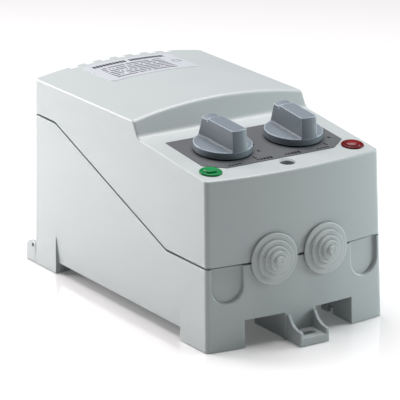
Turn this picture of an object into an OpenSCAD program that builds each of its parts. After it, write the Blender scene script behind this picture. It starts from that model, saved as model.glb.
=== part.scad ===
// Stepped fan-motor speed controller in a two-part moulded housing.
// The frame is millimetres, +Z up from the mounting plane, -Y towards the control panel,
// with the origin under the middle of the whole outline.

/* [Housing] */
// Width across the sides at the top edge of the front
body_w = 117.6; // [112:0.2:124]
// How far each side stands out further at the mounting plane (mould draft)
side_draft = 1.7; // [0.5:0.1:2.5]
// Depth from the top edge of the front to the rear wall
body_d = 187.2; // [184:0.2:192]
// Height of the top edge of the front
front_h = 100; // [97:0.5:104]
// How far the front leans out at the mounting plane
front_lean = 3.9; // [2:0.1:5]
// How far the front bows out in the middle
front_bow = 5.2; // [3:0.1:6]
// Wall thickness of both mouldings
wall = 2.5; // [2.2:0.1:2.8]
// Height of the roof's ridge line at the crest
crest_h = 121.6; // [120:0.2:124]
// Rise of the roof from its side edges to its middle
roof_crown = 5.2; // [3:0.2:6]
// Angle at which the roof falls towards the rear
roof_fall = 0.6; // [0:0.1:1]

/* [Parting line] */
// Height of the parting line at the front
part_front_h = 49.1; // [48:0.1:51]
// Height of the parting line at the rear
part_rear_h = 93.5; // [90:0.5:96]
// Gap between the two mouldings
part_gap = 0.9; // [0.7:0.1:1.2]

/* [Control panel] */
// Angle at which the panel rises towards the rear
panel_slope = 5.75; // [4:0.25:7]
// Length of the panel up its slope
panel_len = 72; // [66:0.5:74]
// Sideways distance of each knob from the middle
knob_x = 24.3; // [23.5:0.1:25]
// Distance of the knobs up the panel
knob_s = 36; // [35:0.5:37]
// Sideways distance of each lamp from the middle
lamp_x = 48.4; // [47.5:0.1:49]
// Distance of the lamps up the panel
lamp_s = 11; // [10.5:0.1:11.5]
// Distance of the cover screw up the panel
screw_s = 6; // [5.5:0.1:6.5]

/* [Knobs] */
// Diameter of the skirt
knob_d = 34.2; // [33:0.2:35]
// Height of the grip above the panel
knob_h = 17.3; // [16:0.1:19]
// Width of the grip
grip_w = 9.8; // [9:0.2:11]
// Turn of the left knob at its zero position
left_knob_turn = 4.5; // [0:0.5:6]
// Diameter of the switch spindles
spindle_d = 6; // [6:0.1:6.4]
// Radial running clearance of a spindle in its bush
spindle_fit = 0.05; // [0.02:0.01:0.09]

/* [Cable entries] */
// Sideways distance of each grommet from the middle
grommet_x = 17.5; // [17:0.1:18]
// Height of the grommet centres
grommet_z = 49.8; // [49:0.1:50.5]
// Diameter of the grommet's flange
grommet_d = 30; // [29:0.2:31]
// Width of the knock-outs
knockout_w = 20; // [18:0.5:20.5]
// Sideways distance of each knock-out from the middle
knockout_x = 46.8; // [46:0.1:47]

/* [Mounting] */
// Reach of the front tab ahead of the front's top edge
tab_reach = 23.3; // [22:0.1:25]
// Width of the front tab
tab_w = 19.6; // [19:0.1:20.4]
// Length of the slot in the front tab
slot_len = 10; // [8:0.5:11]
// Width of the slot in the front tab
slot_w = 4.6; // [4.2:0.1:5.2]
// Reach of the rear ears behind the rear wall
ear_reach = 9.8; // [9.4:0.1:11]
// Width of each rear ear
ear_w = 17; // [16:0.5:18]
// Diameter of the hole in each rear ear
ear_hole_d = 4.8; // [4.2:0.1:5]

/* [Transformer] */
// Width of the laminated core
core_w = 96; // [92:1:98]
// Height of the laminated core
core_h = 80; // [78:1:82]
// Thickness of the lamination stack
core_t = 45; // [40:1:46]

/* [Hidden] */
$fn = 64;
eps = 0.01;
big = 400;

// Places along Y, from the outline's two ends
front_y = tab_reach - (tab_reach + body_d + ear_reach) / 2;
rear_y = front_y + body_d;

// Half-widths, slopes and radii of the outer faces
top_half = body_w / 2;
lean_angle = atan(front_lean / front_h);
bow_r = (top_half * top_half + front_bow * front_bow) / (2 * front_bow);
crown_r = (top_half * top_half + roof_crown * roof_crown) / (2 * roof_crown);
riser_angle = 29;
riser_fillet = 5;
panel_end_y = front_y + panel_len * cos(panel_slope);
panel_end_z = front_h + panel_len * sin(panel_slope);

// Heights inside the base
channel_h = 16.4;
floor_t = 2.6;
floor_z = channel_h + floor_t;
skirt_z = 6.5;
taper_z = 25;
pad_front_y = front_y + 24.1;
pad_rear_y = front_y + 162.2;
foot_x = 37;
rib_t = 2.2;
cutout_in = 10.4;
cutout_out = 36.8;

// The parting line climbs between these two places
climb_y0 = front_y + 40.2;
climb_y1 = front_y + 163.9;

// Screw post and boss on the middle line
post_y = front_y + screw_s;
post_r = 4.2;
post_top = 62;
screw_shank_r = 1.7;
insert_r = 2.8;
insert_len = 9;
recess_r = 4.3;
boss_wall = 2;
seat_z = post_top + 4.4;

// Grommet steps: radius and height above the wall
grommet_r = grommet_d / 2;
neck_r = 11.4;
groove = [-wall - 0.3, 0.3];
step_r = [11.3, 8.1, 5.7, 3];
flange_t = 1.5;
step_h = 1.75;
entry_turn = asin(grommet_x / bow_r);

// Wiring compartment
board_y0 = front_y + 50;
board_y1 = front_y + 94;
board_x = 50;
board_z = 27;
board_t = 1.6;
board_hole_r = 1.7;
board_top = board_z + board_t;
block_y0 = front_y + 16;
block_d = 22;
block_h = 16;
pole_count = 8;
pole_pitch = 10;
block_len = pole_count * pole_pitch + 12;
lead_count = 6;
lead_pitch = 8;
lead_r = 1.2;
lead_bend = 4;
header_y = board_y1 - 5;
header_h = 9;

// Transformer, centred on the rear compartment
core_y = front_y + 141;
core_z = floor_z + 2 + core_h / 2;
leg_w = core_w / 3;
window_w = core_w / 6;
window_h = core_h * 0.6;
bolt_x = core_w / 2 - window_w / 2;
bolt_z = core_h / 2 - window_w / 2;
bolt_r = 2.4;
coil_half_x = leg_w / 2 + window_w - 0.8;
coil_half_y = core_t / 2 + window_w - 0.8;
former_t = 1.5;
bracket_t = 2;
bracket_h = 17;
bracket_foot = 13;
foot_screw_x = 32;
foot_screw_off = 8;
foot_screw_r = 1.9;
tag_len = 5;

// Parts on the panel, as heights above its outer face
overlay_t = 0.3;
nut_h = 2;
knob_gap = 1;
skirt_h = 5.2;
hollow_h = 3.7;
spindle_top = 12.8;
bush_r = 5;
switch_r = 17.5;
switch_d = 24;
lamp_flange_r = 6.65;
lamp_r = 4.4;

// The drafted half-width at a height
function half_w(z) = top_half + side_draft * (1 - z / front_h);

// ---------- frames and outlines ----------

// Local +Y runs up the panel and local +Z stands out of it
module on_panel(x, s, h = 0) {
    translate([0, front_y, front_h]) rotate([panel_slope, 0, 0]) translate([x, s, h]) children();
}

// Local +Z points straight out of the front at a cable entry
module at_entry(side) {
    translate([0, front_y - front_bow + bow_r, 0])
        rotate([0, 0, side * entry_turn])
        translate([0, -bow_r, grommet_z])
        translate([0, -front_lean * (1 - grommet_z / front_h), 0])
        rotate([90 - lean_angle, 0, 0]) children();
}

// A profile drawn as (Y, Z) and carried across the width
module along_x(length) {
    rotate([90, 0, 90]) translate([0, 0, -length / 2]) linear_extrude(length) children();
}

module round_rect(w, d, r) {
    square([w - 2 * r, d], center = true);
    square([w, d - 2 * r], center = true);
    for (x = [-1, 1], y = [-1, 1]) translate([x * (w / 2 - r), y * (d / 2 - r)]) circle(r);
}

module box(x0, x1, y0, y1, z0, z1) {
    translate([x0, y0, z0]) cube([x1 - x0, y1 - y0, z1 - z0]);
}

module both_sides() {
    children();
    mirror([1, 0, 0]) children();
}

// Panel, riser and rear wall in profile, set in from the outside by t
module side_profile(t) {
    n = [-sin(panel_slope), cos(panel_slope)];
    m = [-cos(riser_angle), sin(riser_angle)];
    root = [panel_end_y, panel_end_z];
    setback = riser_fillet * tan((90 - riser_angle - panel_slope) / 2);
    p0 = root - setback * [n[1], -n[0]];
    c = p0 + riser_fillet * n;
    reach = riser_fillet + t;
    ahead = front_bow + 12;
    p_front = [front_y, front_h] - ahead * [n[1], -n[0]] - t * n;
    top_z = crest_h + 20;
    start = 270 + panel_slope;
    stop = 360 - riser_angle;
    last = c + reach * [cos(stop), sin(stop)];
    arc = [for (i = [0:8]) let (a = start + (stop - start) * i / 8) c + reach * [cos(a), sin(a)]];
    tip = [last[0] + (top_z - last[1]) * tan(riser_angle), top_z];
    polygon(concat([[p_front[0], -5], p_front], arc, [tip, [rear_y - t, top_z], [rear_y - t, -5]]));
}

// Long round roof, falling a little towards the rear
module crown(t) {
    translate([0, panel_end_y + 8, crest_h]) rotate([-roof_fall, 0, 0])
        translate([0, 0, -crown_r]) rotate([90, 0, 0])
        cylinder(r = crown_r - t, h = big, center = true, $fn = 720);
}

// Bowed, leaning front
module bow(t) {
    translate([0, front_y - front_bow + bow_r, front_h]) rotate([-lean_angle, 0, 0])
        cylinder(r = bow_r - t, h = big, center = true, $fn = 720);
}

module drafted_sides(t) {
    z0 = -5;
    z1 = crest_h + 20;
    rotate([90, 0, 0]) linear_extrude(big, center = true)
        polygon([[-half_w(z0) + t, z0], [half_w(z0) - t, z0], [half_w(z1) - t, z1], [-half_w(z1) + t, z1]]);
}

module envelope(t) {
    intersection() {
        along_x(body_w + 20) side_profile(t);
        crown(t);
        bow(t);
        drafted_sides(t);
    }
}

// The side of the parting line below (or above) it, shifted up by d
module below_parting(d) {
    along_x(body_w + 40)
        polygon([[-big / 2, -20], [-big / 2, part_front_h + d], [climb_y0, part_front_h + d],
                 [climb_y1, part_rear_h + d], [big / 2, part_rear_h + d], [big / 2, -20]]);
}

module above_parting(d) {
    along_x(body_w + 40)
        polygon([[-big / 2, 200], [-big / 2, part_front_h + d], [climb_y0, part_front_h + d],
                 [climb_y1, part_rear_h + d], [big / 2, part_rear_h + d], [big / 2, 200]]);
}

// ---------- base ----------

module knockout_shape() {
    foot_z = part_front_h - 21.6 + knockout_w / 2;
    for (x = [-knockout_x, knockout_x]) translate([x, 0, 0]) {
        translate([0, front_y, foot_z]) rotate([90, 0, 0])
            cylinder(d = knockout_w, h = 40, center = true);
        box(-knockout_w / 2, knockout_w / 2, front_y - 20, front_y + 20, foot_z, 60);
    }
}

module base_outer() {
    difference() {
        intersection() {
            envelope(0);
            below_parting(-part_gap / 2);
            box(-big, big, -big, big, 0, big);
        }
        difference() {
            knockout_shape();
            envelope(1.9);
        }
        // lower stretch of each side between the feet draws in towards the mounting plane
        both_sides() translate([0, (pad_front_y + pad_rear_y) / 2, 0]) rotate([90, 0, 0])
            linear_extrude(pad_rear_y - pad_front_y, center = true)
            polygon([[half_w(taper_z), taper_z], [half_w(0) + 5, taper_z], [half_w(0) + 5, -1],
                     [half_w(0) - 2.2, -1], [half_w(skirt_z) - 1.8, skirt_z]]);
        box(-big, big, pad_front_y, pad_rear_y, -1, skirt_z);
    }
}

// Hollow foot at each corner, under the floor
module feet() {
    both_sides() {
        difference() {
            box(foot_x, foot_x + rib_t, front_y - front_bow, pad_front_y, 0, channel_h + eps);
            box(foot_x - 1, foot_x + rib_t + 1, pad_front_y - 12, pad_front_y - 6.5, -1, 5);
        }
        box(foot_x, half_w(0) - 3, pad_front_y - rib_t, pad_front_y, 0, channel_h + eps);
        box(foot_x, foot_x + rib_t, pad_rear_y, rear_y - 1, 0, channel_h + eps);
        box(foot_x, half_w(0) - 3, pad_rear_y, pad_rear_y + rib_t, 0, channel_h + eps);
    }
}

// Front tab: a plate between two ribs that sweep up to the front wall
module front_tab() {
    tip_y = front_y - tab_reach;
    root_y = front_y - 3;
    plate_z = 4.8;
    rib_z = 8.2;
    sweep_r = 13;
    difference() {
        union() {
            box(-tab_w / 2, tab_w / 2, tip_y, root_y, 0, plate_z);
            both_sides() intersection() {
                box(tab_w / 2 - 2, tab_w / 2, tip_y, root_y, 0, channel_h);
                difference() {
                    box(-big, big, tip_y, root_y, 0, channel_h);
                    translate([0, tip_y + 1.5, rib_z + sweep_r]) rotate([0, 90, 0])
                        cylinder(r = sweep_r, h = big, center = true);
                    box(-big, big, tip_y - 1, tip_y + 1.5, rib_z, 40);
                }
            }
        }
        translate([0, tip_y + 7.3, 0]) {
            for (x = [-1, 1]) translate([x * (slot_len - slot_w) / 2, 0, -1])
                cylinder(d = slot_w, h = 10);
            box(-(slot_len - slot_w) / 2, (slot_len - slot_w) / 2, -slot_w / 2, slot_w / 2, -1, 9);
        }
    }
    // the tab runs on under the floor between two ribs
    both_sides() box(tab_w / 2 - 2, tab_w / 2, root_y - eps, pad_front_y, 0, channel_h + eps);
    box(-tab_w / 2, tab_w / 2, root_y - eps, front_y, 0, 4.8);
}

// Rear ears: a drilled plate with a rib along its outer edge
module rear_ears() {
    ear_z = 5;
    rib_z = 13;
    corner_r = 6;
    out_x = half_w(0);
    both_sides() {
        difference() {
            box(out_x - ear_w, out_x, rear_y - eps, rear_y + ear_reach, 0, ear_z);
            translate([out_x - ear_w / 2 - 1, rear_y + ear_reach / 2, -1])
                cylinder(d = ear_hole_d, h = 10);
        }
        for (x0 = [out_x - 2.2, out_x - ear_w])
            intersection() {
                box(x0, x0 + 2.2, rear_y - eps, rear_y + ear_reach, 0, rib_z);
                union() {
                    box(0, big, rear_y - 1, rear_y + ear_reach, 0, rib_z - corner_r);
                    box(0, big, rear_y - 1, rear_y + ear_reach - corner_r, 0, rib_z);
                    translate([0, rear_y + ear_reach - corner_r, rib_z - corner_r]) rotate([0, 90, 0])
                        cylinder(r = corner_r, h = 2 * big, center = true);
                }
            }
    }
}

// Lip inside the parting line that closes the gap
module base_lip() {
    lip_in = wall + 1.5;
    lip_rise = 2.4;
    difference() {
        intersection() {
            envelope(wall + 0.35);
            below_parting(lip_rise);
            above_parting(-2.6);
        }
        envelope(lip_in);
        box(-big, big, rear_y - 8, big, 0, big);
        for (side = [-1, 1]) at_entry(side) cylinder(r = grommet_r - 1, h = 40, center = true);
    }
    difference() {
        intersection() {
            envelope(wall - eps);
            below_parting(-part_gap / 2);
            above_parting(-2.6);
        }
        envelope(lip_in);
        box(-big, big, rear_y - 8, big, 0, big);
        for (side = [-1, 1]) at_entry(side) cylinder(r = grommet_r - 1, h = 40, center = true);
    }
}

module base_posts() {
    difference() {
        union() {
            translate([0, post_y, floor_z - eps]) cylinder(r = post_r, h = post_top - floor_z + eps);
            for (x = [-1, 1], y = [board_y0 + 4, board_y1 - 4])
                translate([x * (board_x - 4), y, floor_z - eps]) cylinder(r = 3.5, h = board_z - floor_z + eps);
        }
        translate([0, post_y, post_top - insert_len]) cylinder(r = insert_r, h = insert_len + 1);
        translate([0, post_y, post_top - 16]) cylinder(r = screw_shank_r + 0.4, h = 20);
        for (x = [-1, 1], y = [board_y0 + 4, board_y1 - 4])
            translate([x * (board_x - 4), y, floor_z + 1]) cylinder(r = 1.3, h = 20);
    }
}

// Places of the screws that go down into the floor
function foot_screws() = [for (x = [-1, 1], y = [-1, 1])
    [x * foot_screw_x, core_y + y * (core_t / 2 + foot_screw_off)]];
block_screw_x = block_len / 2 - 3;
earth_at = [board_x + 1, front_y + 42];

module floor_bosses() {
    for (p = foot_screws()) translate([p[0], p[1], channel_h - 7]) cylinder(r = 4, h = 7 + eps);
    for (x = [-1, 1]) translate([x * block_screw_x, block_y0 + block_d / 2, channel_h - 6])
        cylinder(r = 3.5, h = 6 + eps);
    translate([earth_at[0], earth_at[1], channel_h - 6]) cylinder(r = 4, h = 6 + eps);
}

module floor_holes() {
    for (p = foot_screws()) translate([p[0], p[1], channel_h - 6]) cylinder(r = foot_screw_r - 0.1, h = 20);
    for (x = [-1, 1]) translate([x * block_screw_x, block_y0 + block_d / 2, channel_h - 5]) cylinder(r = 1.4, h = 20);
    translate([earth_at[0], earth_at[1], channel_h - 5]) cylinder(r = 1.9, h = 20);
    // air slots under the transformer
    for (i = [-3:3]) box(i * 8 - 1.5, i * 8 + 1.5, core_y - 18, core_y + 18, channel_h - 1, floor_z + 1);
}

module base_housing() {
    color("#d3d8d6") {
        difference() {
            union() {
                difference() {
                    base_outer();
                    intersection() {
                        envelope(wall);
                        box(-big, big, -big, big, floor_z, big);
                    }
                    intersection() {
                        envelope(wall);
                        box(-big, big, -big, big, -1, channel_h);
                    }
                    both_sides() box(cutout_in, cutout_out, front_y - 20, front_y + 5, -1, channel_h);
                    box(-foot_x, foot_x, rear_y - 5, rear_y + 5, -1, skirt_z);
                    for (side = [-1, 1]) at_entry(side) cylinder(r = neck_r + 0.1, h = 20, center = true);
                }
                feet();
                front_tab();
                rear_ears();
                base_lip();
                base_posts();
                floor_bosses();
            }
            floor_holes();
        }
    }
}

// Stepped cable grommet, drawn about its own axis with the wall's face at zero
module grommet() {
    inner_r = neck_r + 1.5;
    outer = concat(
        [[0, groove[0] - 1.4], [inner_r, groove[0] - 1.4], [inner_r, groove[0]], [neck_r, groove[0]],
         [neck_r, groove[1]], [grommet_r, groove[1]], [grommet_r, groove[1] + flange_t - 0.5],
         [grommet_r - 0.5, groove[1] + flange_t]],
        [for (i = [0:3], k = [0:2])
            k == 0 ? [step_r[i], flange_t + groove[1] + i * step_h] :
            k == 1 ? [step_r[i], flange_t + groove[1] + (i + 1) * step_h - 0.4] :
                     [step_r[i] - 0.4, flange_t + groove[1] + (i + 1) * step_h]],
        [[0, flange_t + groove[1] + 4 * step_h]]);
    difference() {
        rotate_extrude() polygon(outer);
        translate([0, 0, groove[0] - 2]) cylinder(r = step_r[0] - 1.3, h = 3.4);
        for (i = [0:3])
            translate([0, 0, groove[0] - 2]) cylinder(r = step_r[i] - 1.3, h = flange_t + (i + 1) * step_h + 3.4);
    }
}

module cable_grommet_left() { color("#c3c9c8") at_entry(-1) grommet(); }
module cable_grommet_right() { color("#c3c9c8") at_entry(1) grommet(); }

module screw_insert() {
    color("#c9a544") translate([0, post_y, post_top - insert_len]) difference() {
        cylinder(r = insert_r, h = insert_len);
        translate([0, 0, -1]) cylinder(r = screw_shank_r + 0.3, h = insert_len + 2);
    }
}

// ---------- transformer ----------

module core_corners() {
    for (x = [-1, 1], z = [-1, 1]) translate([x * bolt_x, core_y, core_z + z * bolt_z])
        rotate([90, 0, 0]) children();
}

module transformer_core() {
    color("#5b5f63") difference() {
        translate([0, core_y, core_z]) cube([core_w, core_t, core_h], center = true);
        both_sides() translate([leg_w / 2 + window_w / 2, core_y, core_z])
            cube([window_w, core_t + 2, window_h], center = true);
        core_corners() cylinder(r = bolt_r + 0.1, h = core_t + 2, center = true);
    }
}

module coil_ring(outer_x, outer_y, r, inner_x, inner_y, height) {
    linear_extrude(height, center = true) difference() {
        round_rect(2 * outer_x, 2 * outer_y, r);
        square([2 * inner_x, 2 * inner_y], center = true);
    }
}

module winding_bobbin() {
    leg_x = leg_w / 2 + 0.2;
    leg_y = core_t / 2 + 0.2;
    color("#2f3a40") translate([0, core_y, core_z]) {
        coil_ring(leg_x + former_t, leg_y + former_t, 0.5, leg_x, leg_y, window_h - 0.8);
        for (z = [-1, 1]) translate([0, 0, z * (window_h / 2 - 0.4 - former_t / 2)])
            coil_ring(coil_half_x, coil_half_y, 3, leg_x, leg_y, former_t);
    }
}

module copper_winding() {
    in_x = leg_w / 2 + 0.2 + former_t;
    in_y = core_t / 2 + 0.2 + former_t;
    color("#b4622d") translate([0, core_y, core_z])
        coil_ring(coil_half_x - 1.4, coil_half_y - 1.4, 5, in_x, in_y, window_h - 0.8 - 2 * former_t);
}

module winding_tape() {
    tape_h = window_h * 0.62;
    color("#d9b43c") translate([0, core_y, core_z]) linear_extrude(tape_h, center = true) difference() {
        round_rect(2 * coil_half_x - 1.8, 2 * coil_half_y - 1.8, 5.4);
        round_rect(2 * coil_half_x - 2.8, 2 * coil_half_y - 2.8, 5);
    }
}

// Solder tags along the front edge of the upper bobbin flange, one for each lead
function lead_x(i) = (i - (lead_count - 1) / 2) * lead_pitch;
tag_z = core_z + window_h / 2 - 0.4;
coil_front_y = core_y - coil_half_y;

module winding_tags() {
    color("#c9cdd0") for (i = [0:lead_count - 1])
        box(lead_x(i) - 1.5, lead_x(i) + 1.5, coil_front_y - tag_len, coil_front_y + 3, tag_z, tag_z + 0.8);
}

module core_bracket(side) {
    face = core_y + side * core_t / 2;
    y0 = min(face, face + side * bracket_t);
    f0 = min(face, face + side * bracket_foot);
    difference() {
        union() {
            box(-core_w / 2 + 2, core_w / 2 - 2, y0, y0 + bracket_t, floor_z, floor_z + bracket_h);
            box(-core_w / 2 + 2, core_w / 2 - 2, f0, f0 + bracket_foot, floor_z, floor_z + bracket_t);
        }
        for (x = [-1, 1]) {
            translate([x * bolt_x, face, core_z - bolt_z]) rotate([90, 0, 0])
                cylinder(r = bolt_r + 0.1, h = 20, center = true);
            translate([x * foot_screw_x, core_y + side * (core_t / 2 + foot_screw_off), floor_z - 1])
                cylinder(r = foot_screw_r + 0.3, h = 10);
        }
        // the strip is relieved where the winding stands out of the core
        box(-coil_half_x - 2, coil_half_x + 2, core_y - big, core_y + big, core_z - window_h / 2 - 1, big);
    }
}

module core_bracket_front() { color("#aeb4b8") core_bracket(-1); }
module core_bracket_rear() { color("#aeb4b8") core_bracket(1); }

// Hexagon heads stand on the brackets below and on the core above
module core_bolts() {
    head_h = 3.4;
    color("#b9bdbf") for (x = [-1, 1], z = [-1, 1]) {
        grip = core_t / 2 + (z < 0 ? bracket_t : 0);
        translate([x * bolt_x, core_y, core_z + z * bolt_z]) rotate([90, 0, 0]) {
            translate([0, 0, -grip - 6]) cylinder(r = bolt_r, h = 2 * grip + 6);
            translate([0, 0, grip]) cylinder(r = 4.4, h = head_h, $fn = 6);
        }
    }
}

module core_nuts() {
    color("#a7abad") for (x = [-1, 1], z = [-1, 1]) {
        grip = core_t / 2 + (z < 0 ? bracket_t : 0);
        translate([x * bolt_x, core_y + grip, core_z + z * bolt_z]) rotate([-90, 0, 0]) difference() {
            cylinder(r = 4.4, h = 3.8, $fn = 6);
            translate([0, 0, -1]) cylinder(r = bolt_r + 0.02, h = 6);
        }
    }
}

// Slotted pan-head screw standing on a face at zero, its shank pointing down
module pan_screw(r, length, head_r, head_h) {
    difference() {
        union() {
            translate([0, 0, -length]) cylinder(r = r, h = length + eps);
            cylinder(r1 = head_r, r2 = head_r - 0.6, h = head_h);
        }
        translate([0, 0, head_h]) cube([head_r * 2 + 1, 0.8, head_h * 0.9], center = true);
    }
}

module transformer_screws() {
    color("#b9bdbf") for (p = foot_screws()) translate([p[0], p[1], floor_z + bracket_t])
        pan_screw(foot_screw_r - 0.15, 8, 3.8, 2.4);
}

// ---------- wiring compartment ----------

function pole_x(i) = (i - (pole_count - 1) / 2) * pole_pitch;
pole_row = [5.5, block_d - 5.5];
clamp_z = floor_z + 6;

// Barrier strip with two screw wells and two wire mouths for each pole
module terminal_block() {
    color("#e4e0d2") difference() {
        union() {
            box(-block_len / 2 + 6, block_len / 2 - 6, block_y0, block_y0 + block_d, floor_z, floor_z + block_h);
            box(-block_len / 2, block_len / 2, block_y0 + 6, block_y0 + block_d - 6, floor_z, floor_z + 6);
        }
        for (i = [0:pole_count - 1]) translate([pole_x(i), block_y0, 0]) {
            for (y = pole_row) translate([0, y, clamp_z]) cylinder(r = 2.7, h = 20);
            translate([-3.3, -1, clamp_z - 3]) cube([6.6, block_d + 2, 6.5]);
        }
        for (i = [0:pole_count])
            box(pole_x(i) - 5.4, pole_x(i) - 4.6, block_y0 - 1, block_y0 + block_d + 1,
                floor_z + block_h - 4, floor_z + block_h + 1);
        for (x = [-1, 1]) translate([x * block_screw_x, block_y0 + block_d / 2, floor_z - 1])
            cylinder(r = 1.6, h = 10);
    }
}

module terminal_clamps() {
    color("#c9a544") for (i = [0:pole_count - 1]) translate([pole_x(i), block_y0, clamp_z - 3]) difference() {
        translate([-3.2, 2, 0]) cube([6.4, block_d - 4, 6.4]);
        translate([0, -1, 2.6]) rotate([-90, 0, 0]) cylinder(r = 1.7, h = block_d + 2);
        for (y = pole_row) translate([0, y, 3]) cylinder(r = 1.6, h = 6);
    }
}

module terminal_screws() {
    color("#b9bdbf") for (i = [0:pole_count - 1], y = pole_row)
        translate([pole_x(i), block_y0 + y, clamp_z + 4.6]) pan_screw(1.45, 1.4, 2.4, 2);
}

module block_screws() {
    color("#b9bdbf") for (x = [-1, 1]) translate([x * block_screw_x, block_y0 + block_d / 2, floor_z + 6])
        pan_screw(1.3, 12, 2.7, 1.8);
}

module earth_clamp() {
    color("#c9a544") translate([earth_at[0], earth_at[1], floor_z]) difference() {
        translate([-4, -4, 0]) cube([8, 8, 3]);
        translate([0, 0, -1]) cylinder(r = 2.1, h = 6);
    }
}

module earth_screw() {
    color("#b9bdbf") translate([earth_at[0], earth_at[1], floor_z + 3]) pan_screw(1.8, 9, 3.8, 2.2);
}

module control_board() {
    color("#2f6b46") difference() {
        box(-board_x, board_x, board_y0, board_y1, board_z, board_top);
        for (x = [-1, 1], y = [board_y0 + 4, board_y1 - 4])
            translate([x * (board_x - 4), y, board_z - 1]) cylinder(r = board_hole_r, h = 5);
    }
}

module board_screws() {
    color("#b9bdbf") for (x = [-1, 1], y = [board_y0 + 4, board_y1 - 4])
        translate([x * (board_x - 4), y, board_top]) pan_screw(1.25, 7, 2.8, 1.8);
}

relay_at = [22, board_y0 + 8];

module trip_relay() {
    color("#23272b") translate([relay_at[0], relay_at[1], board_top]) union() {
        linear_extrude(15.2) translate([9.5, 7.75]) round_rect(19, 15.5, 1);
        linear_extrude(15.8) translate([9.5, 7.75]) round_rect(13, 9.5, 0.6);
    }
}

fuse_at = [-30, board_y0 + 16];
fuse_z = board_top + 6;
fuse_r = 2.6;
fuse_len = 20;

// Two sprung posts on a base, each with a cradle under the fuse
module fuse_holder() {
    color("#202326") difference() {
        union() {
            box(fuse_at[0] - 13, fuse_at[0] + 13, fuse_at[1] - 4.5, fuse_at[1] + 4.5, board_top, board_top + 2);
            for (x = [-1, 1]) translate([fuse_at[0] + x * 8, 0, 0])
                box(-2.2, 2.2, fuse_at[1] - 4.2, fuse_at[1] + 4.2, board_top, fuse_z + 1.6);
        }
        translate([fuse_at[0], fuse_at[1], fuse_z]) rotate([0, 90, 0])
            cylinder(r = fuse_r + 0.35, h = 40, center = true);
    }
}

module fuse_tube() {
    color("#cfe3e6", 0.5) translate([fuse_at[0], fuse_at[1], fuse_z]) rotate([0, 90, 0])
        difference() {
            cylinder(r = fuse_r - 0.2, h = fuse_len - 1.4, center = true);
            cylinder(r = fuse_r - 0.9, h = fuse_len + 2, center = true);
        }
}

module fuse_caps() {
    cap_len = 5;
    color("#c9cdd0") for (x = [-1, 1]) translate([fuse_at[0] + x * (fuse_len / 2 - cap_len / 2), fuse_at[1], fuse_z])
        rotate([0, 90, 0]) difference() {
            cylinder(r = fuse_r + 0.3, h = cap_len, center = true);
            translate([0, 0, -x * 0.6]) cylinder(r = fuse_r - 0.2, h = cap_len, center = true);
        }
}

module lead_header() {
    half = lead_count * lead_pitch / 2;
    color("#e9e9e2") difference() {
        box(-half, half, header_y - 4, header_y + 4, board_top, board_top + header_h);
        for (i = [0:lead_count - 1]) translate([lead_x(i), header_y, board_top + 2]) cylinder(r = lead_r + 0.1, h = 20);
    }
}

// Leads from the winding's tags, over a bend and down into the header
module tap_leads() {
    top_z = tag_z - lead_r;
    run = coil_front_y - 0.6 - (header_y + lead_bend);
    color("#b23a32") for (i = [0:lead_count - 1]) translate([lead_x(i), header_y, 0]) {
        translate([0, 0, board_top + 2]) cylinder(r = lead_r, h = top_z - lead_bend - board_top - 2 + eps);
        translate([0, lead_bend, top_z - lead_bend]) rotate([90, 0, -90]) rotate_extrude(angle = 90)
            translate([lead_bend, 0]) circle(lead_r);
        translate([0, lead_bend - eps, top_z]) rotate([-90, 0, 0]) cylinder(r = lead_r, h = run + eps);
    }
}

// ---------- cover ----------

module vent_slots() {
    slot = 2.5;
    pitch = 11;
    for (i = [-3:3])
        box(i * pitch - slot / 2, i * pitch + slot / 2, rear_y - wall - 0.8, rear_y + 5, part_rear_h + 3.6, big);
}

// Tongues that drop behind the rear wall of the base
module rear_tongues() {
    both_sides() {
        box(26, 40, rear_y - wall - 2.2, rear_y - wall - 0.4, part_rear_h - 8, part_rear_h + 4);
        box(26, 40, rear_y - wall - 2.2, rear_y - wall + eps, part_rear_h + 1, part_rear_h + 4);
    }
}

module screw_boss() {
    translate([0, post_y, post_top + 0.4]) cylinder(r = recess_r + boss_wall, h = front_h - post_top - 0.4);
}

module top_cover() {
    color("#dfe2e1") difference() {
        union() {
            difference() {
                intersection() {
                    envelope(0);
                    above_parting(part_gap / 2);
                }
                intersection() {
                    envelope(wall);
                    box(-big, big, -big, big, -1, big);
                }
            }
            rear_tongues();
            screw_boss();
        }
        for (side = [-1, 1]) at_entry(side) cylinder(r = neck_r + 0.5, h = 30, center = true);
        translate([0, post_y, seat_z]) cylinder(r = recess_r, h = 60);
        translate([0, post_y, post_top - 5]) cylinder(r = screw_shank_r + 0.35, h = 20);
        for (side = [-1, 1]) {
            on_panel(side * knob_x, knob_s, -10) cylinder(r = bush_r + 0.1, h = 20);
            on_panel(side * lamp_x, lamp_s, -10) cylinder(r = lamp_r + 0.1, h = 20);
        }
        vent_slots();
    }
}

// Printed plate with its two front corners cut off
module panel_overlay() {
    half = 48;
    s0 = 12;
    s1 = 59;
    cut_x = 11.5;
    cut_s = 9;
    color("#5d6062") on_panel(0, 0, 0) linear_extrude(overlay_t) difference() {
        polygon([[-half, s1], [half, s1], [half, s0 + cut_s], [half - cut_x, s0],
                 [-half + cut_x, s0], [-half, s0 + cut_s]]);
        for (side = [-1, 1]) translate([side * knob_x, knob_s]) circle(bush_r + 0.2);
    }
}

// Thin plate that follows the round of the roof
module rating_label() {
    label_t = 0.2;
    color("#d5d9e6") difference() {
        intersection() {
            crown(-label_t);
            translate([-1, front_y + 161, 100]) linear_extrude(40) round_rect(61, 36, 3);
        }
        crown(0);
    }
}

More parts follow.
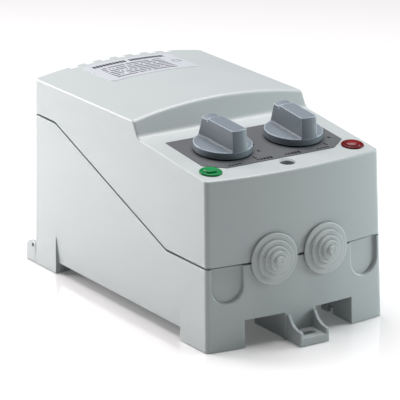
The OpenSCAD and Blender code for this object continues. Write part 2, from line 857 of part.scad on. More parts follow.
module lamp_lens() {
    dome_h = 2.6;
    difference() {
        union() {
            cylinder(r1 = lamp_flange_r, r2 = lamp_flange_r - 0.5, h = 1);
            intersection() {
                translate([0, 0, dome_h - 12]) sphere(12);
                cylinder(r = lamp_flange_r - 1.6, h = dome_h + 1);
            }
            translate([0, 0, -0.6]) cylinder(r = lamp_r - 1.2, h = 1);
        }
        translate([0, 0, -1]) cylinder(r = lamp_r - 1.8, h = 1.9);
    }
}

module lamp_lens_green() { color("#0f9a55") on_panel(-lamp_x, lamp_s) lamp_lens(); }
module lamp_lens_red() { color("#a5141c") on_panel(lamp_x, lamp_s) lamp_lens(); }

// Threaded barrel through the panel, with two tags below
module lamp_body() {
    difference() {
        translate([0, 0, -22]) cylinder(r = lamp_r, h = 22);
        translate([0, 0, -1]) cylinder(r = lamp_r - 1.1, h = 2);
    }
    for (x = [-1, 1]) translate([x * 2 - 0.4, -1.2, -29]) cube([0.8, 2.4, 7 + eps]);
}

module lamp_body_green() { color("#e8e8e4") on_panel(-lamp_x, lamp_s) lamp_body(); }
module lamp_body_red() { color("#e8e8e4") on_panel(lamp_x, lamp_s) lamp_body(); }

module lamp_nuts() {
    color("#3a3d40") for (side = [-1, 1]) on_panel(side * lamp_x, lamp_s, -wall - 3) difference() {
        cylinder(r = 6.6, h = 3, $fn = 6);
        translate([0, 0, -1]) cylinder(r = lamp_r + 0.02, h = 5);
    }
}

// Step switch hung under the panel by its threaded bush
module switch_body() {
    difference() {
        union() {
            translate([0, 0, -wall - switch_d]) cylinder(r = switch_r, h = switch_d - 3);
            translate([0, 0, -wall - 3 - eps]) linear_extrude(3 + eps) round_rect(30, 30, 4);
            translate([0, 0, -wall - eps]) cylinder(r = bush_r, h = wall + overlay_t + nut_h + 0.5);
        }
        translate([0, 0, -wall - 18]) cylinder(r = spindle_d / 2 + spindle_fit, h = 40);
    }
}

module switch_body_left() { color("#2b2f33") on_panel(-knob_x, knob_s) switch_body(); }
module switch_body_right() { color("#2b2f33") on_panel(knob_x, knob_s) switch_body(); }

module switch_nuts() {
    color("#b9bdbf") for (side = [-1, 1]) on_panel(side * knob_x, knob_s, overlay_t) difference() {
        cylinder(r = 7.5, h = nut_h, $fn = 6);
        translate([0, 0, -1]) cylinder(r = bush_r + 0.02, h = 5);
    }
}

module switch_tabs() {
    color("#c9a544") for (side = [-1, 1], i = [0:6]) on_panel(side * knob_x, knob_s, -wall - switch_d)
        rotate([0, 0, i * 360 / 7]) translate([13, -2.4, -6]) cube([0.8, 4.8, 6]);
}

module cover_screw() {
    color("#b9bdbf") translate([0, post_y, seat_z + 0.8]) difference() {
        union() {
            translate([0, 0, -15]) cylinder(r = screw_shank_r, h = 15 + eps);
            cylinder(r = 3.5, h = 3);
        }
        for (a = [0, 90]) rotate([0, 0, a]) translate([0, 0, 3]) cube([5, 0.9, 2.4], center = true);
    }
}

module screw_washer() {
    color("#2b2b2b") translate([0, post_y, seat_z]) difference() {
        cylinder(r = 3.9, h = 0.8);
        translate([0, 0, -1]) cylinder(r = screw_shank_r + 0.1, h = 3);
    }
}

// ---------- knobs ----------

// Round skirt with a bar grip across it and a notched pointer end
module knob() {
    foot_r = knob_d / 2 - 0.4;
    top_r = 14.2;
    difference() {
        union() {
            translate([0, 0, knob_gap]) cylinder(d = knob_d, h = skirt_h - knob_gap - 0.4);
            translate([0, 0, skirt_h - 0.4]) cylinder(d1 = knob_d, d2 = knob_d - 0.8, h = 0.4);
            intersection() {
                translate([0, 0, skirt_h - 1]) cylinder(r1 = foot_r, r2 = top_r, h = knob_h - skirt_h + 1);
                translate([0, 0, knob_h / 2]) cube([grip_w, knob_d, knob_h], center = true);
            }
        }
        translate([0, 0, -1]) cylinder(r = 14.6, h = hollow_h + 1);
        translate([0, 0, 0]) cylinder(d = spindle_d, h = spindle_top + 0.3);
        translate([0, top_r - 5.4, knob_h]) cube([grip_w + 1, 0.8, 1.2], center = true);
    }
}

module spindle() {
    cylinder(d = spindle_d, h = spindle_top + wall + 14);
}

module knob_left() { color("#788188") on_panel(-knob_x, knob_s) rotate([0, 0, left_knob_turn]) knob(); }
module knob_right() { color("#788188") on_panel(knob_x, knob_s) knob(); }
module spindle_left() { color("#c9cdd0") on_panel(-knob_x, knob_s, -wall - 14) spindle(); }
module spindle_right() { color("#c9cdd0") on_panel(knob_x, knob_s, -wall - 14) spindle(); }

base_housing();
cable_grommet_left();
cable_grommet_right();
screw_insert();
transformer_core();
winding_bobbin();
copper_winding();
winding_tape();
winding_tags();
core_bracket_front();
core_bracket_rear();
core_bolts();
core_nuts();
transformer_screws();
terminal_block();
terminal_clamps();
terminal_screws();
block_screws();
earth_clamp();
earth_screw();
control_board();
board_screws();
trip_relay();
fuse_holder();
fuse_tube();
fuse_caps();
lead_header();
tap_leads();
top_cover();
panel_overlay();
rating_label();
lamp_lens_green();
lamp_lens_red();
lamp_body_green();
lamp_body_red();
lamp_nuts();
switch_body_left();
switch_body_right();
switch_nuts();
switch_tabs();
cover_screw();
screw_washer();
knob_left();
spindle_left();
knob_right();
spindle_right();
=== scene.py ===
import math

import bpy
from mathutils import Matrix, Vector


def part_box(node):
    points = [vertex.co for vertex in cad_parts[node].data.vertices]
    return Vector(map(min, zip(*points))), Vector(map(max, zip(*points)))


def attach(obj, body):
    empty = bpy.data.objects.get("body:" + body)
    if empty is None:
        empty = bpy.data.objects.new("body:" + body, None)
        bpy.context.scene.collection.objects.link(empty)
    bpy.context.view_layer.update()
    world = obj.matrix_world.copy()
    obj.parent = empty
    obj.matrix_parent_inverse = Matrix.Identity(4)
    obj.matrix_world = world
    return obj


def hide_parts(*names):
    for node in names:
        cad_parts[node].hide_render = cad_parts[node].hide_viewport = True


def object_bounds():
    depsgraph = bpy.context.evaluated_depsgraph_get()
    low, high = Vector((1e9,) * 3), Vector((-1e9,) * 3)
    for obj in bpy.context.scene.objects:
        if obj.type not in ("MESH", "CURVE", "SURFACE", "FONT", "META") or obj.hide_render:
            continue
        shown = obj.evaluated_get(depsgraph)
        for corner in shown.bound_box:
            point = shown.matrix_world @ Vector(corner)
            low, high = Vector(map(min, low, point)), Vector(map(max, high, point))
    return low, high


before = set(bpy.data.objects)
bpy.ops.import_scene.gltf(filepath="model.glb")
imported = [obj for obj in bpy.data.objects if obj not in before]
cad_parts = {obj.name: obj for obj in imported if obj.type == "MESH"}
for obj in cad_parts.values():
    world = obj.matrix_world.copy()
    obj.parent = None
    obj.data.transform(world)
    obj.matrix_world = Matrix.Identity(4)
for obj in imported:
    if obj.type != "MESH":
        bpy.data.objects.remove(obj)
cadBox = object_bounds()
mm = 0.001
print("frame loaded:", len(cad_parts), "nodes")


# small helpers

# lengths are written in millimetres
def sized(**lengths):
    return {key: value * mm for key, value in lengths.items()}


def deselect():
    bpy.ops.object.select_all(action="DESELECT")


def only(obj):
    deselect()
    obj.select_set(True)
    bpy.context.view_layer.objects.active = obj
    return obj


def named(name):
    obj = bpy.context.object
    obj.name = name
    obj.data.name = name
    return obj


def settle(obj):
    # place, turn and size go into the mesh
    only(obj)
    bpy.ops.object.transform_apply(location=True, rotation=True, scale=True)
    return obj


def modifier(obj, kind, **settings):
    only(obj)
    mod = obj.modifiers.new(kind.title(), kind)
    for key, value in settings.items():
        setattr(mod, key, value)
    bpy.ops.object.modifier_apply(modifier=mod.name)
    return obj


def carve(obj, *cutters, operation="DIFFERENCE"):
    for cutter in cutters:
        modifier(obj, "BOOLEAN", object=cutter, operation=operation, solver="MANIFOLD")
        bpy.data.objects.remove(cutter, do_unlink=True)
    return obj


def fuse(obj, *others):
    return carve(obj, *others, operation="UNION")


def cuboid(name, low, high):
    deselect()
    centre = [(a + b) / 2 for a, b in zip(low, high)]
    bpy.ops.mesh.primitive_cube_add(size=1, location=centre)
    obj = named(name)
    obj.scale = [b - a for a, b in zip(low, high)]
    return settle(obj)


def copyOf(obj, name):
    only(obj)
    bpy.ops.object.duplicate()
    return named(name)


def mirrored(obj, name):
    twin = copyOf(obj, name)
    twin.scale.x = -1
    settle(twin)
    return faceOut(twin)


def inEdit(obj, mode="EDGE"):
    only(obj)
    bpy.ops.object.mode_set(mode="EDIT")
    bpy.ops.mesh.select_mode(type=mode)


def leaveEdit():
    bpy.ops.object.mode_set(mode="OBJECT")


def faceOut(obj):
    inEdit(obj)
    bpy.ops.mesh.select_all(action="SELECT")
    bpy.ops.mesh.remove_doubles(threshold=0.004 * mm)
    bpy.ops.mesh.normals_make_consistent(inside=False)
    leaveEdit()
    return obj


def pickEdges(obj, test):
    # test reads an edge's middle and its two ends
    inEdit(obj)
    bpy.ops.mesh.select_all(action="DESELECT")
    leaveEdit()
    points = obj.data.vertices
    for edge in obj.data.edges:
        a, b = (points[i].co for i in edge.vertices)
        edge.select = bool(test((a + b) / 2, a, b))
    bpy.ops.object.mode_set(mode="EDIT")


def smooth(obj, degrees=32):
    only(obj)
    bpy.ops.object.shade_smooth_by_angle(angle=math.radians(degrees))
    return modifier(obj, "WEIGHTED_NORMAL", keep_sharp=True, weight=80)


# a sheet of squares wrapped into a closed tube: shape(u, v) gives each corner's place
def wrapSheet(name, across, around, shape):
    deselect()
    bpy.ops.mesh.primitive_grid_add(x_subdivisions=across, y_subdivisions=around, size=1)
    obj = named(name)
    for point in obj.data.vertices:
        u, v = round((point.co.x + 0.5) * across), round((point.co.y + 0.5) * around)
        point.co = shape(u / across, v)
    inEdit(obj)
    bpy.ops.mesh.select_all(action="SELECT")
    bpy.ops.mesh.remove_doubles(threshold=0.001 * mm)
    bpy.ops.mesh.select_all(action="DESELECT")
    bpy.ops.mesh.select_non_manifold()
    bpy.ops.mesh.fill_holes(sides=0)
    bpy.ops.mesh.select_all(action="SELECT")
    bpy.ops.mesh.normals_make_consistent(inside=False)
    leaveEdit()
    return obj


# corners are (first, second, radius, steps); a radius of 0 leaves a corner sharp
def roundedPath(corners):
    path = []
    for i, (x, y, radius, steps) in enumerate(corners):
        here = Vector((x, y))
        before = Vector(corners[i - 1][:2])
        after = Vector(corners[(i + 1) % len(corners)][:2])
        toBefore, toAfter = (before - here).normalized(), (after - here).normalized()
        half = toBefore.angle(toAfter) / 2
        if radius <= 0:
            path += [here.copy() for step in range(steps + 1)]
            continue
        back = radius / math.tan(half)
        centre = here + (toBefore + toAfter).normalized() * radius / math.sin(half)
        first, last = here + toBefore * back - centre, here + toAfter * back - centre
        sweep = first.angle_signed(last)
        for step in range(steps + 1):
            turn = Matrix.Rotation(-sweep * step / steps, 2)
            path.append(centre + turn @ first)
    return path


# rings are (radius, height), bottom to top, drawn about the Z axis
def lathe(name, rings, segments=64):
    deselect()
    radius, height = rings[0]
    bpy.ops.mesh.primitive_circle_add(vertices=segments, radius=radius, location=(0, 0, height))
    obj = settle(named(name))
    inEdit(obj)
    bpy.ops.mesh.select_all(action="SELECT")
    bpy.ops.mesh.edge_face_add()
    for nextRadius, nextHeight in rings[1:]:
        bpy.ops.mesh.select_mode(type="FACE")
        bpy.ops.mesh.extrude_region_move(TRANSFORM_OT_translate={"value": (0, 0, nextHeight - height)})
        ratio = nextRadius / radius
        bpy.ops.transform.resize(value=(ratio, ratio, 1))
        radius, height = nextRadius, nextHeight
    leaveEdit()
    return faceOut(obj)


def placed(obj, matrix):
    obj.data.transform(matrix)
    obj.data.update()
    return obj


# a flat outline of (first, second) points, drawn out along one axis from low to high
def prism(name, path, axis, low, high):
    deselect()
    bpy.ops.mesh.primitive_circle_add(vertices=len(path), radius=1, fill_type="NGON")
    obj = named(name)
    spread = {"X": lambda a, b: (low, a, b), "Y": lambda a, b: (a, low, b),
              "Z": lambda a, b: (a, b, low)}[axis]
    for point, (a, b) in zip(obj.data.vertices, path):
        point.co = spread(a, b)
    inEdit(obj, "FACE")
    bpy.ops.mesh.select_all(action="SELECT")
    step = [high - low if axis == letter else 0 for letter in "XYZ"]
    bpy.ops.mesh.extrude_region_move(TRANSFORM_OT_translate={"value": step})
    leaveEdit()
    return faceOut(obj)


def cylinder(name, radius, low, high, at=(0, 0), segments=48):
    deselect()
    middle = (at[0], at[1], (low + high) / 2)
    bpy.ops.mesh.primitive_cylinder_add(
        vertices=segments, radius=radius, depth=high - low, location=middle)
    return settle(named(name))


def joined(name, *objs):
    deselect()
    for obj in objs:
        obj.select_set(True)
    bpy.context.view_layer.objects.active = objs[0]
    bpy.ops.object.join()
    return named(name)


def rounded(obj, width, steps=3, degrees=40):
    return modifier(obj, "BEVEL", width=width, segments=steps, limit_method="ANGLE",
                    angle_limit=math.radians(degrees), use_clamp_overlap=True, harden_normals=False)


# the housing's shape, as formulas

baseLow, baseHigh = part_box("base_housing")
coverLow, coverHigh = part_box("top_cover")

housing = sized(
    depth=187.2, frontTop=100, lean=3.9, bow=5.2, panelLength=72, riserFillet=5, crestRound=3.6,
    ridge=121.6, ridgeBack=8, crown=5.2, wall=2.5, partFront=49.1, partRear=93.5, partGap=1.1,
    climbFrom=40.2, climbTo=163.9, cornerRound=2.2)
housing.update(slope=math.radians(5.75), riser=math.radians(29), fall=math.radians(0.6), columns=28)
rearY = coverHigh.y
frontY = rearY - housing["depth"]
draft = (baseHigh.x - coverHigh.x) / coverLow.z
halfGap = housing["partGap"] / 2
rimLow = {"front": housing["partFront"] - halfGap, "rear": housing["partRear"] - halfGap}
rimHigh = {"front": housing["partFront"] + halfGap, "rear": housing["partRear"] + halfGap}
climb = (frontY + housing["climbFrom"], frontY + housing["climbTo"])


def halfWidth(z):
    return baseHigh.x - draft * z


# side is -1 to 1 across the housing
def frontAt(side, z, inset=0):
    foot = frontY + inset - housing["lean"] * (1 - z / housing["frontTop"])
    return foot - housing["bow"] * (1 - side * side)


def panelAt(y, inset=0):
    slope = housing["slope"]
    return housing["frontTop"] + (y - frontY) * math.tan(slope) - inset / math.cos(slope)


def roofAt(side, y, inset=0):
    ridgeY = frontY + housing["panelLength"] * math.cos(housing["slope"]) + housing["ridgeBack"]
    ridge = housing["ridge"] - (y - ridgeY) * math.tan(housing["fall"])
    return ridge - housing["crown"] * side * side - inset


def riserAt(z, inset=0):
    rootY = frontY + housing["panelLength"] * math.cos(housing["slope"])
    rootZ = housing["frontTop"] + housing["panelLength"] * math.sin(housing["slope"])
    return rootY + (z - rootZ) * math.tan(housing["riser"]) + inset / math.cos(housing["riser"])


# where two of those lines cross
def crossing(lineY, lineZ, y):
    for turn in range(12):
        z = lineZ(y)
        y = lineY(z)
    return y, z


def coverOutline(side, inset=0, bottom=None):
    frontZ, rearZ = (bottom, bottom) if bottom is not None else (rimHigh["front"], rimHigh["rear"])
    long = housing["panelLength"]

    def front(z):
        return frontAt(side, z, inset)

    def riser(z):
        return riserAt(z, inset)

    def slope(y):
        return panelAt(y, inset)

    def roof(y):
        return roofAt(side, y, inset)
    topFront = crossing(front, slope, frontY)
    root = crossing(riser, slope, frontY + long)
    crest = crossing(riser, roof, frontY + 2 * long)
    corners = [
        (front(frontZ), frontZ, 0, 0),
        (*topFront, 0, 0),
        (*root, housing["riserFillet"] + inset, 7),
        (*crest, max(housing["crestRound"] - inset, 0.8 * mm), 7),
        (rearY - inset, roof(rearY - inset), 0, 0),
        (rearY - inset, rearZ, 0, 0),
    ]
    if bottom is None:
        corners += [(climb[1], rearZ, 0, 0), (climb[0], frontZ, 0, 0)]
    return roundedPath(corners)


def baseOutline(side):
    corners = [
        (frontAt(side, 0), 0), (frontAt(side, rimLow["front"]), rimLow["front"]),
        (climb[0], rimLow["front"]), (climb[1], rimLow["rear"]), (rearY, rimLow["rear"]), (rearY, 0)]
    return [Vector(corner) for corner in corners]


def hollowOutline(low, high):
    def outline(side):
        inset = housing["wall"]
        return [Vector(corner) for corner in (
            (frontAt(side, low, inset), low), (frontAt(side, high, inset), high),
            (rearY - inset, high), (rearY - inset, low))]
    return outline


# a solid whose outline across the width is given at each side place
def block(name, outline, inset=0, columns=housing["columns"]):
    rows = [outline(2 * step / columns - 1) for step in range(columns + 1)]

    def shape(u, v):
        row = rows[round(u * columns)]
        y, z = row[v % len(row)]
        return Vector(((2 * u - 1) * (halfWidth(z) - inset), y, z))
    return wrapSheet(name, columns, len(rows[0]), shape)


# bevels each group of edges by its own share of the corner radius
def roundEdges(obj, groups):
    for share, test in groups:
        pickEdges(obj, test)
        bpy.ops.transform.edge_bevelweight(value=share)
        leaveEdit()
    return modifier(obj, "BEVEL", width=housing["cornerRound"], segments=5, limit_method="WEIGHT",
                    use_clamp_overlap=False)


def onSide(point):
    return abs(point.x) > halfWidth(point.z) - 0.02 * mm


def alongX(a, b):
    return abs(a.x - b.x) > 1 * mm


def nearRim(point, rim):
    y = point.y
    share = min(max((y - climb[0]) / (climb[1] - climb[0]), 0), 1)
    return abs(point.z - (rim["front"] + share * (rim["rear"] - rim["front"]))) < 0.05 * mm


# a frame whose +Z stands out of the front wall at a cable entry
def entryFrame(x, z):
    side = x / halfWidth(z)
    turn = math.atan(2 * housing["bow"] * side / halfWidth(z))
    lean = math.atan(housing["lean"] / housing["frontTop"])
    upright = Matrix.Rotation(turn, 4, "Z") @ Matrix.Rotation(math.pi / 2 - lean, 4, "X")
    return Matrix.Translation((x, frontAt(side, z), z)) @ upright


# a frame on the panel: +Y up the slope, +Z out of the panel
def panelFrame(x, s):
    corner = Matrix.Translation((0, frontY, housing["frontTop"]))
    return corner @ Matrix.Rotation(housing["slope"], 4, "X") @ Matrix.Translation((x, s, 0))


panel = sized(
    knobX=24.3, knobS=36, lampX=48.4, lampS=11, screwS=6, screwRadius=4.3, screwSeat=66.4, screwWay=2.05,
    bossRadius=6.3, bossLow=62.4, bushRadius=5.1, lampRadius=4.5,
    entryX=17.5, entryZ=49.8, entryRadius=11.9,
    ventPitch=11, ventWidth=2.7, ventMouth=3.3, ventDepth=4.4, ventLow=97.1,
    tongueX=33, tongueHalf=7, tongueReach=8)
panel["ventCount"] = 7
screwAt = (0, frontY + panel["screwS"])
print("shape formulas ready")


# cover

# a long edge that stands up at one of the four corners
def cornerEdge(m, a, b):
    atEnd = m.y < frontY + 5 * mm or m.y > rearY - 1 * mm
    return onSide(m) and abs(a.z - b.z) > 8 * mm and atEnd


def coverEdges():
    rim = rimHigh

    def onRim(m, a, b):
        across = alongX(a, b) and nearRim(m, rim) and (m.y < frontY or m.y > rearY - 1 * mm)
        return (onSide(m) and nearRim(a, rim) and nearRim(b, rim)) or across

    def sideEdge(m, a, b):
        return onSide(m) and not (nearRim(a, rim) and nearRim(b, rim)) and not cornerEdge(m, a, b)
    return [
        (1.0, lambda m, a, b: cornerEdge(m, a, b) and abs(a.y - b.y) < 4 * mm),
        (0.5, sideEdge),
        (0.7, lambda m, a, b: alongX(a, b) and m.z > 90 * mm and m.y < frontY + 1 * mm),
        (0.5, lambda m, a, b: alongX(a, b) and m.z > 105 * mm and m.y > rearY - 0.1 * mm),
        (0.17, onRim),
    ]


# catch that hooks behind the base's rear wall
def makeTongue(x):
    low, high, inner = x - panel["tongueHalf"], x + panel["tongueHalf"], rearY - housing["wall"]
    top, back = rimHigh["rear"] + 4 * mm, inner - 2.2 * mm
    tongue = cuboid("tongue", (low, back, rimHigh["rear"] - panel["tongueReach"]),
                    (high, inner - 0.4 * mm, top))
    root = cuboid("root", (low, back, rimHigh["rear"] + 1.5 * mm), (high, rearY - 1 * mm, top))
    return fuse(tongue, root)


# air slot, and the mouth that flares where it meets the roof
def ventCutters(x):
    narrow, mouth = panel["ventWidth"] / 2, panel["ventMouth"]
    front, back = rearY - panel["ventDepth"], rearY + 5 * mm
    top = roofAt(x / halfWidth(housing["ridge"]), rearY)
    flare = [(x - mouth, top + 1 * mm), (x - mouth * 0.72, top - 0.5 * mm), (x - narrow, top - 1.9 * mm),
             (x + narrow, top - 1.9 * mm), (x + mouth * 0.72, top - 0.5 * mm), (x + mouth, top + 1 * mm)]
    return (cuboid("slot", (x - narrow, front, panel["ventLow"]), (x + narrow, back, 0.2)),
            prism("ventMouth", flare, "Y", front, back))


def makeCover():
    cover = roundEdges(block("coverShell", coverOutline), coverEdges())
    hollow = block("coverHollow", lambda side: coverOutline(side, housing["wall"], 30 * mm),
                   housing["wall"], 14)
    carve(cover, hollow)
    bossTop = panelAt(screwAt[1]) - 1 * mm
    fuse(cover, cylinder("boss", panel["bossRadius"], panel["bossLow"], bossTop, screwAt))
    for side in (-1, 1):
        fuse(cover, makeTongue(side * panel["tongueX"]))
    for step in range(panel["ventCount"]):
        carve(cover, *ventCutters((step - panel["ventCount"] // 2) * panel["ventPitch"]))
    radius, flare = panel["screwRadius"], 6 * mm
    recess = lathe("recess", [(radius, panel["screwSeat"]), (radius, bossTop + 0.15 * mm),
                              (radius + flare, bossTop + 0.15 * mm + flare)], 64)
    carve(cover, placed(recess, Matrix.Translation((*screwAt, 0))))
    carve(cover, cylinder("screwWay", panel["screwWay"], 50 * mm, 80 * mm, screwAt))
    for side in (-1, 1):
        for x, s, radius in ((panel["knobX"], panel["knobS"], panel["bushRadius"]),
                             (panel["lampX"], panel["lampS"], panel["lampRadius"])):
            hole = cylinder("hole", radius, -10 * mm, 10 * mm)
            carve(cover, placed(hole, panelFrame(side * x, s)))
        entry = cylinder("entry", panel["entryRadius"], -15 * mm, 15 * mm, segments=64)
        carve(cover, placed(entry, entryFrame(side * panel["entryX"], panel["entryZ"])))
    return smooth(faceOut(cover))


# each new piece rides on a body and stands for a node, whose part it hides
def belongs(piece, body, node):
    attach(piece, body)
    if node:
        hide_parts(node)


cover = makeCover()
belongs(cover, "cover", "top_cover")
print("cover made:", len(cover.data.polygons), "faces")


# base

base = sized(
    floorUnder=16.4, floorTop=19, skirt=6.5, taperTop=25, taperIn=1.8, footX=37, rib=2.2,
    cutIn=10.4, cutOut=36.8, tabHalf=9.8, tabPlate=4.8, tabRib=8.2, tabRibWide=2, sweep=13,
    slotLength=10, slotWidth=4.6, slotBack=7.3,
    earWidth=17, earPlate=5, earRib=13, earRound=6, earHole=2.4, earNotch=1.3, earNotchZ=10.6,
    knockX=46.8, knockHalf=10, knockFoot=27.5, knockDepth=2.1, knockLip=0.45,
    postRadius=4.2, postTop=62, insertRadius=2.8, insertDeep=9.2,
    lipIn=4, lipGap=2.85, lipRise=2.4, lipDrop=2.6, lift=0.03, entryRadius=11.5, lipClear=14,
    airWide=3, airPitch=8, airHalf=18)
base.update(padFront=frontY + 24.1 * mm, padRear=frontY + 162.2 * mm, coreY=frontY + 141 * mm, airCount=7)
boardLow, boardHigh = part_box("control_board")
# x, y, boss radius and hole radius of the screws that stand in the floor
screws = [(x, base["coreY"] + y, 4 * mm, 1.7 * mm)
          for x in (-32 * mm, 32 * mm) for y in (-30.5 * mm, 30.5 * mm)]
screws += [(x, frontY + 27 * mm, 3.5 * mm, 1.4 * mm) for x in (-43 * mm, 43 * mm)]
screws += [(51 * mm, frontY + 42 * mm, 4 * mm, 1.9 * mm)]

tabTip, earEnd = baseLow.y, baseHigh.y


def arcPoints(centre, radius, start, stop, steps):
    turns = [math.radians(start + (stop - start) * step / steps) for step in range(steps + 1)]
    return [(centre[0] + radius * math.cos(t), centre[1] + radius * math.sin(t)) for t in turns]


# plate with a slot between two ribs that sweep up to the wall and run on under the floor
def makeTab():
    half, rootY, lift, top = base["tabHalf"], frontY - 3 * mm, base["lift"], base["tabRib"]
    plate = cuboid("tabPlate", (1 * mm - half, tabTip + lift, lift),
                   (half - 1 * mm, frontY + 1 * mm, base["tabPlate"]))
    rounded(plate, 0.5 * mm)
    over = base["floorUnder"] + 0.8 * mm
    sweep = arcPoints((tabTip + 1.5 * mm, top + base["sweep"]), base["sweep"], 270, 331.5, 12)
    outline = [(tabTip, 2 * lift), (tabTip, top - 0.6 * mm), (tabTip + 0.5 * mm, top), *sweep[1:],
               (rootY, base["floorUnder"] - 1.2 * mm), (rootY + 2 * mm, over),
               (base["padFront"], over), (base["padFront"], 2 * lift)]
    for side in (-1, 1):
        rib = prism("tabRib", outline, "X", side * half, side * (half - base["tabRibWide"]))
        fuse(plate, rounded(rib, 0.4 * mm, 2))
    slotY, reach = tabTip + base["slotBack"], (base["slotLength"] - base["slotWidth"]) / 2
    ends = arcPoints((reach, slotY), base["slotWidth"] / 2, -90, 90, 12)
    ends += arcPoints((-reach, slotY), base["slotWidth"] / 2, 90, 270, 12)
    slot = prism("slot", ends, "Z", -1 * mm, 10 * mm)
    lipped = [(x * 1.07, slotY + (y - slotY) * 1.15) for x, y in ends]
    return carve(plate, slot, prism("slotLip", lipped, "Z", base["tabPlate"] - 0.3 * mm, 9 * mm))


# drilled plate between two round-shouldered ribs, behind a rear corner
def makeEar():
    outX, inX, lift = baseHigh.x, baseHigh.x - base["earWidth"], base["lift"]
    start, rib, turn = rearY - 1.5 * mm, base["rib"], base["earRound"]
    ear = cuboid("ear", (inX + 1 * mm, start, lift), (outX - 1 * mm, earEnd - lift, base["earPlate"]))
    rounded(ear, 0.4 * mm, 2)
    shoulder = arcPoints((earEnd - turn, base["earRib"] - turn), turn, 0, 90, 10)
    outline = [(start + lift, 2 * lift), (earEnd, 2 * lift), *shoulder, (start + lift, base["earRib"])]
    for x in (inX, outX - rib):
        fuse(ear, rounded(prism("earRib", outline, "X", x, x + rib), 0.35 * mm, 2))
    notch = cylinder("earNotch", base["earNotch"], -3 * mm, 3 * mm, segments=24)
    notchAt = Matrix.Translation((outX, rearY + 1.7 * mm, base["earNotchZ"]))
    carve(ear, placed(notch, notchAt @ Matrix.Rotation(math.pi / 2, 4, "Y")))
    holeAt = ((inX + outX) / 2 - 1 * mm, (rearY + earEnd) / 2)
    return carve(ear, cylinder("earHole", base["earHole"], -1 * mm, 9 * mm, holeAt))


# one hollow foot at the front and one at the rear, for the right side
def makeFeet():
    foot, rib, lift, top = base["footX"], base["rib"], base["lift"], base["floorUnder"] + 0.5 * mm
    front, rear, wallX = base["padFront"], base["padRear"], halfWidth(0) - 1 * mm
    frontWall = frontAt(foot / halfWidth(0), 0) + 1 * mm
    inner, above = foot + 0.1 * mm, top + lift
    near = cuboid("footRib", (foot, frontWall, lift), (foot + rib, front - 0.1 * mm, top))
    fuse(near, cuboid("footCross", (inner, front - rib, 2 * lift), (wallX, front - lift, above)))
    carve(near, cuboid("footNotch", (foot - 1 * mm, front - 12 * mm, -1 * mm),
                       (foot + rib + 1 * mm, front - 6.5 * mm, 5 * mm)))
    far = cuboid("footRear", (foot, rear + 0.1 * mm, lift), (foot + rib, rearY - 1 * mm, top))
    fuse(far, cuboid("footRearCross", (inner, rear + lift, 2 * lift), (wallX, rear + rib, above)))
    return near, far


# U-shaped recess with a bevelled mouth, cut square to the bowed front
def makeKnockout(side):
    half, middle, above = base["knockHalf"], base["knockFoot"] + base["knockHalf"], 12 * mm
    pool = None
    for grow, low in ((0, -base["knockDepth"]), (base["knockLip"], -base["knockLip"])):
        reach = half + grow
        path = arcPoints((0, middle - rimLow["front"]), reach, 180, 360, 20)
        path += [(reach, above), (-reach, above)]
        cutter = prism("knockout", path, "Z", low, 6 * mm)
        pool = cutter if pool is None else fuse(pool, cutter)
    return placed(pool, entryFrame(side * base["knockX"], rimLow["front"]))


# a closed band round the housing between two heights that follow the parting line
def rimBand(name, low, high, inset):
    frontZ, rearZ, back = housing["partFront"], housing["partRear"], rearY - 8 * mm

    def outline(side):
        corners = [(frontAt(side, frontZ + low, inset), frontZ + low), (climb[0], frontZ + low),
                   (climb[1], rearZ + low), (back, rearZ + low), (back, rearZ + high),
                   (climb[1], rearZ + high), (climb[0], frontZ + high),
                   (frontAt(side, frontZ + high, inset), frontZ + high)]
        return [Vector(corner) for corner in corners]
    return block(name, outline, inset, 14)


# what stands inside the shell and locates the cover
def makeLip():
    lip = rimBand("lip", -base["lipDrop"], base["lipRise"], base["lipGap"])
    fuse(lip, rimBand("lipRoot", -base["lipDrop"] - 0.1 * mm, -halfGap - 0.15 * mm,
                      housing["wall"] - 0.3 * mm))
    carve(lip, rimBand("lipHollow", -9 * mm, 9 * mm, base["lipIn"]))
    carve(lip, cuboid("lipEnd", (-0.1, rearY - 9 * mm, 0.05), (0.1, rearY, 0.12)))
    for side in (-1, 1):
        clear = cylinder("clear", base["lipClear"], -20 * mm, 20 * mm)
        carve(lip, placed(clear, entryFrame(side * panel["entryX"], panel["entryZ"])))
    return lip


def baseEdges():
    def corner(m, a, b):
        return onSide(m) and abs(a.z - b.z) > 40 * mm and abs(a.y - b.y) < 4 * mm

    def onRim(m, a, b):
        across = alongX(a, b) and (m.y < frontY or m.y > rearY - 1 * mm)
        return nearRim(m, rimLow) and (onSide(m) or across)
    return [(1.0, corner), (0.17, onRim)]


# the walls under the floor: tapered skirts, front cut-outs, knock-outs and the gaps between the feet
def trimWalls(shell):
    low, high, under = base["padFront"], base["padRear"], -1 * mm
    for side in (-1, 1):
        out = side * (halfWidth(0) + 5 * mm)
        taper = [(side * (halfWidth(base["taperTop"]) + 0.02 * mm), base["taperTop"]),
                 (out, base["taperTop"]), (out, under),
                 (side * (halfWidth(0) - base["taperIn"] - 0.4 * mm), under),
                 (side * (halfWidth(base["skirt"]) - base["taperIn"]), base["skirt"])]
        carve(shell, prism("taper", taper, "Y", low, high))
        cutX = sorted((side * base["cutIn"], side * base["cutOut"]))
        carve(shell, cuboid("cutout", (cutX[0], frontY - 20 * mm, under),
                            (cutX[1], frontY + 5 * mm, base["floorUnder"])))
        carve(shell, makeKnockout(side))
    carve(shell, cuboid("skirtGap", (-0.1, low, under), (0.1, high, base["skirt"])))
    carve(shell, cuboid("rearGap", (-base["footX"], rearY - 5 * mm, under),
                        (base["footX"], rearY + 5 * mm, base["skirt"])))


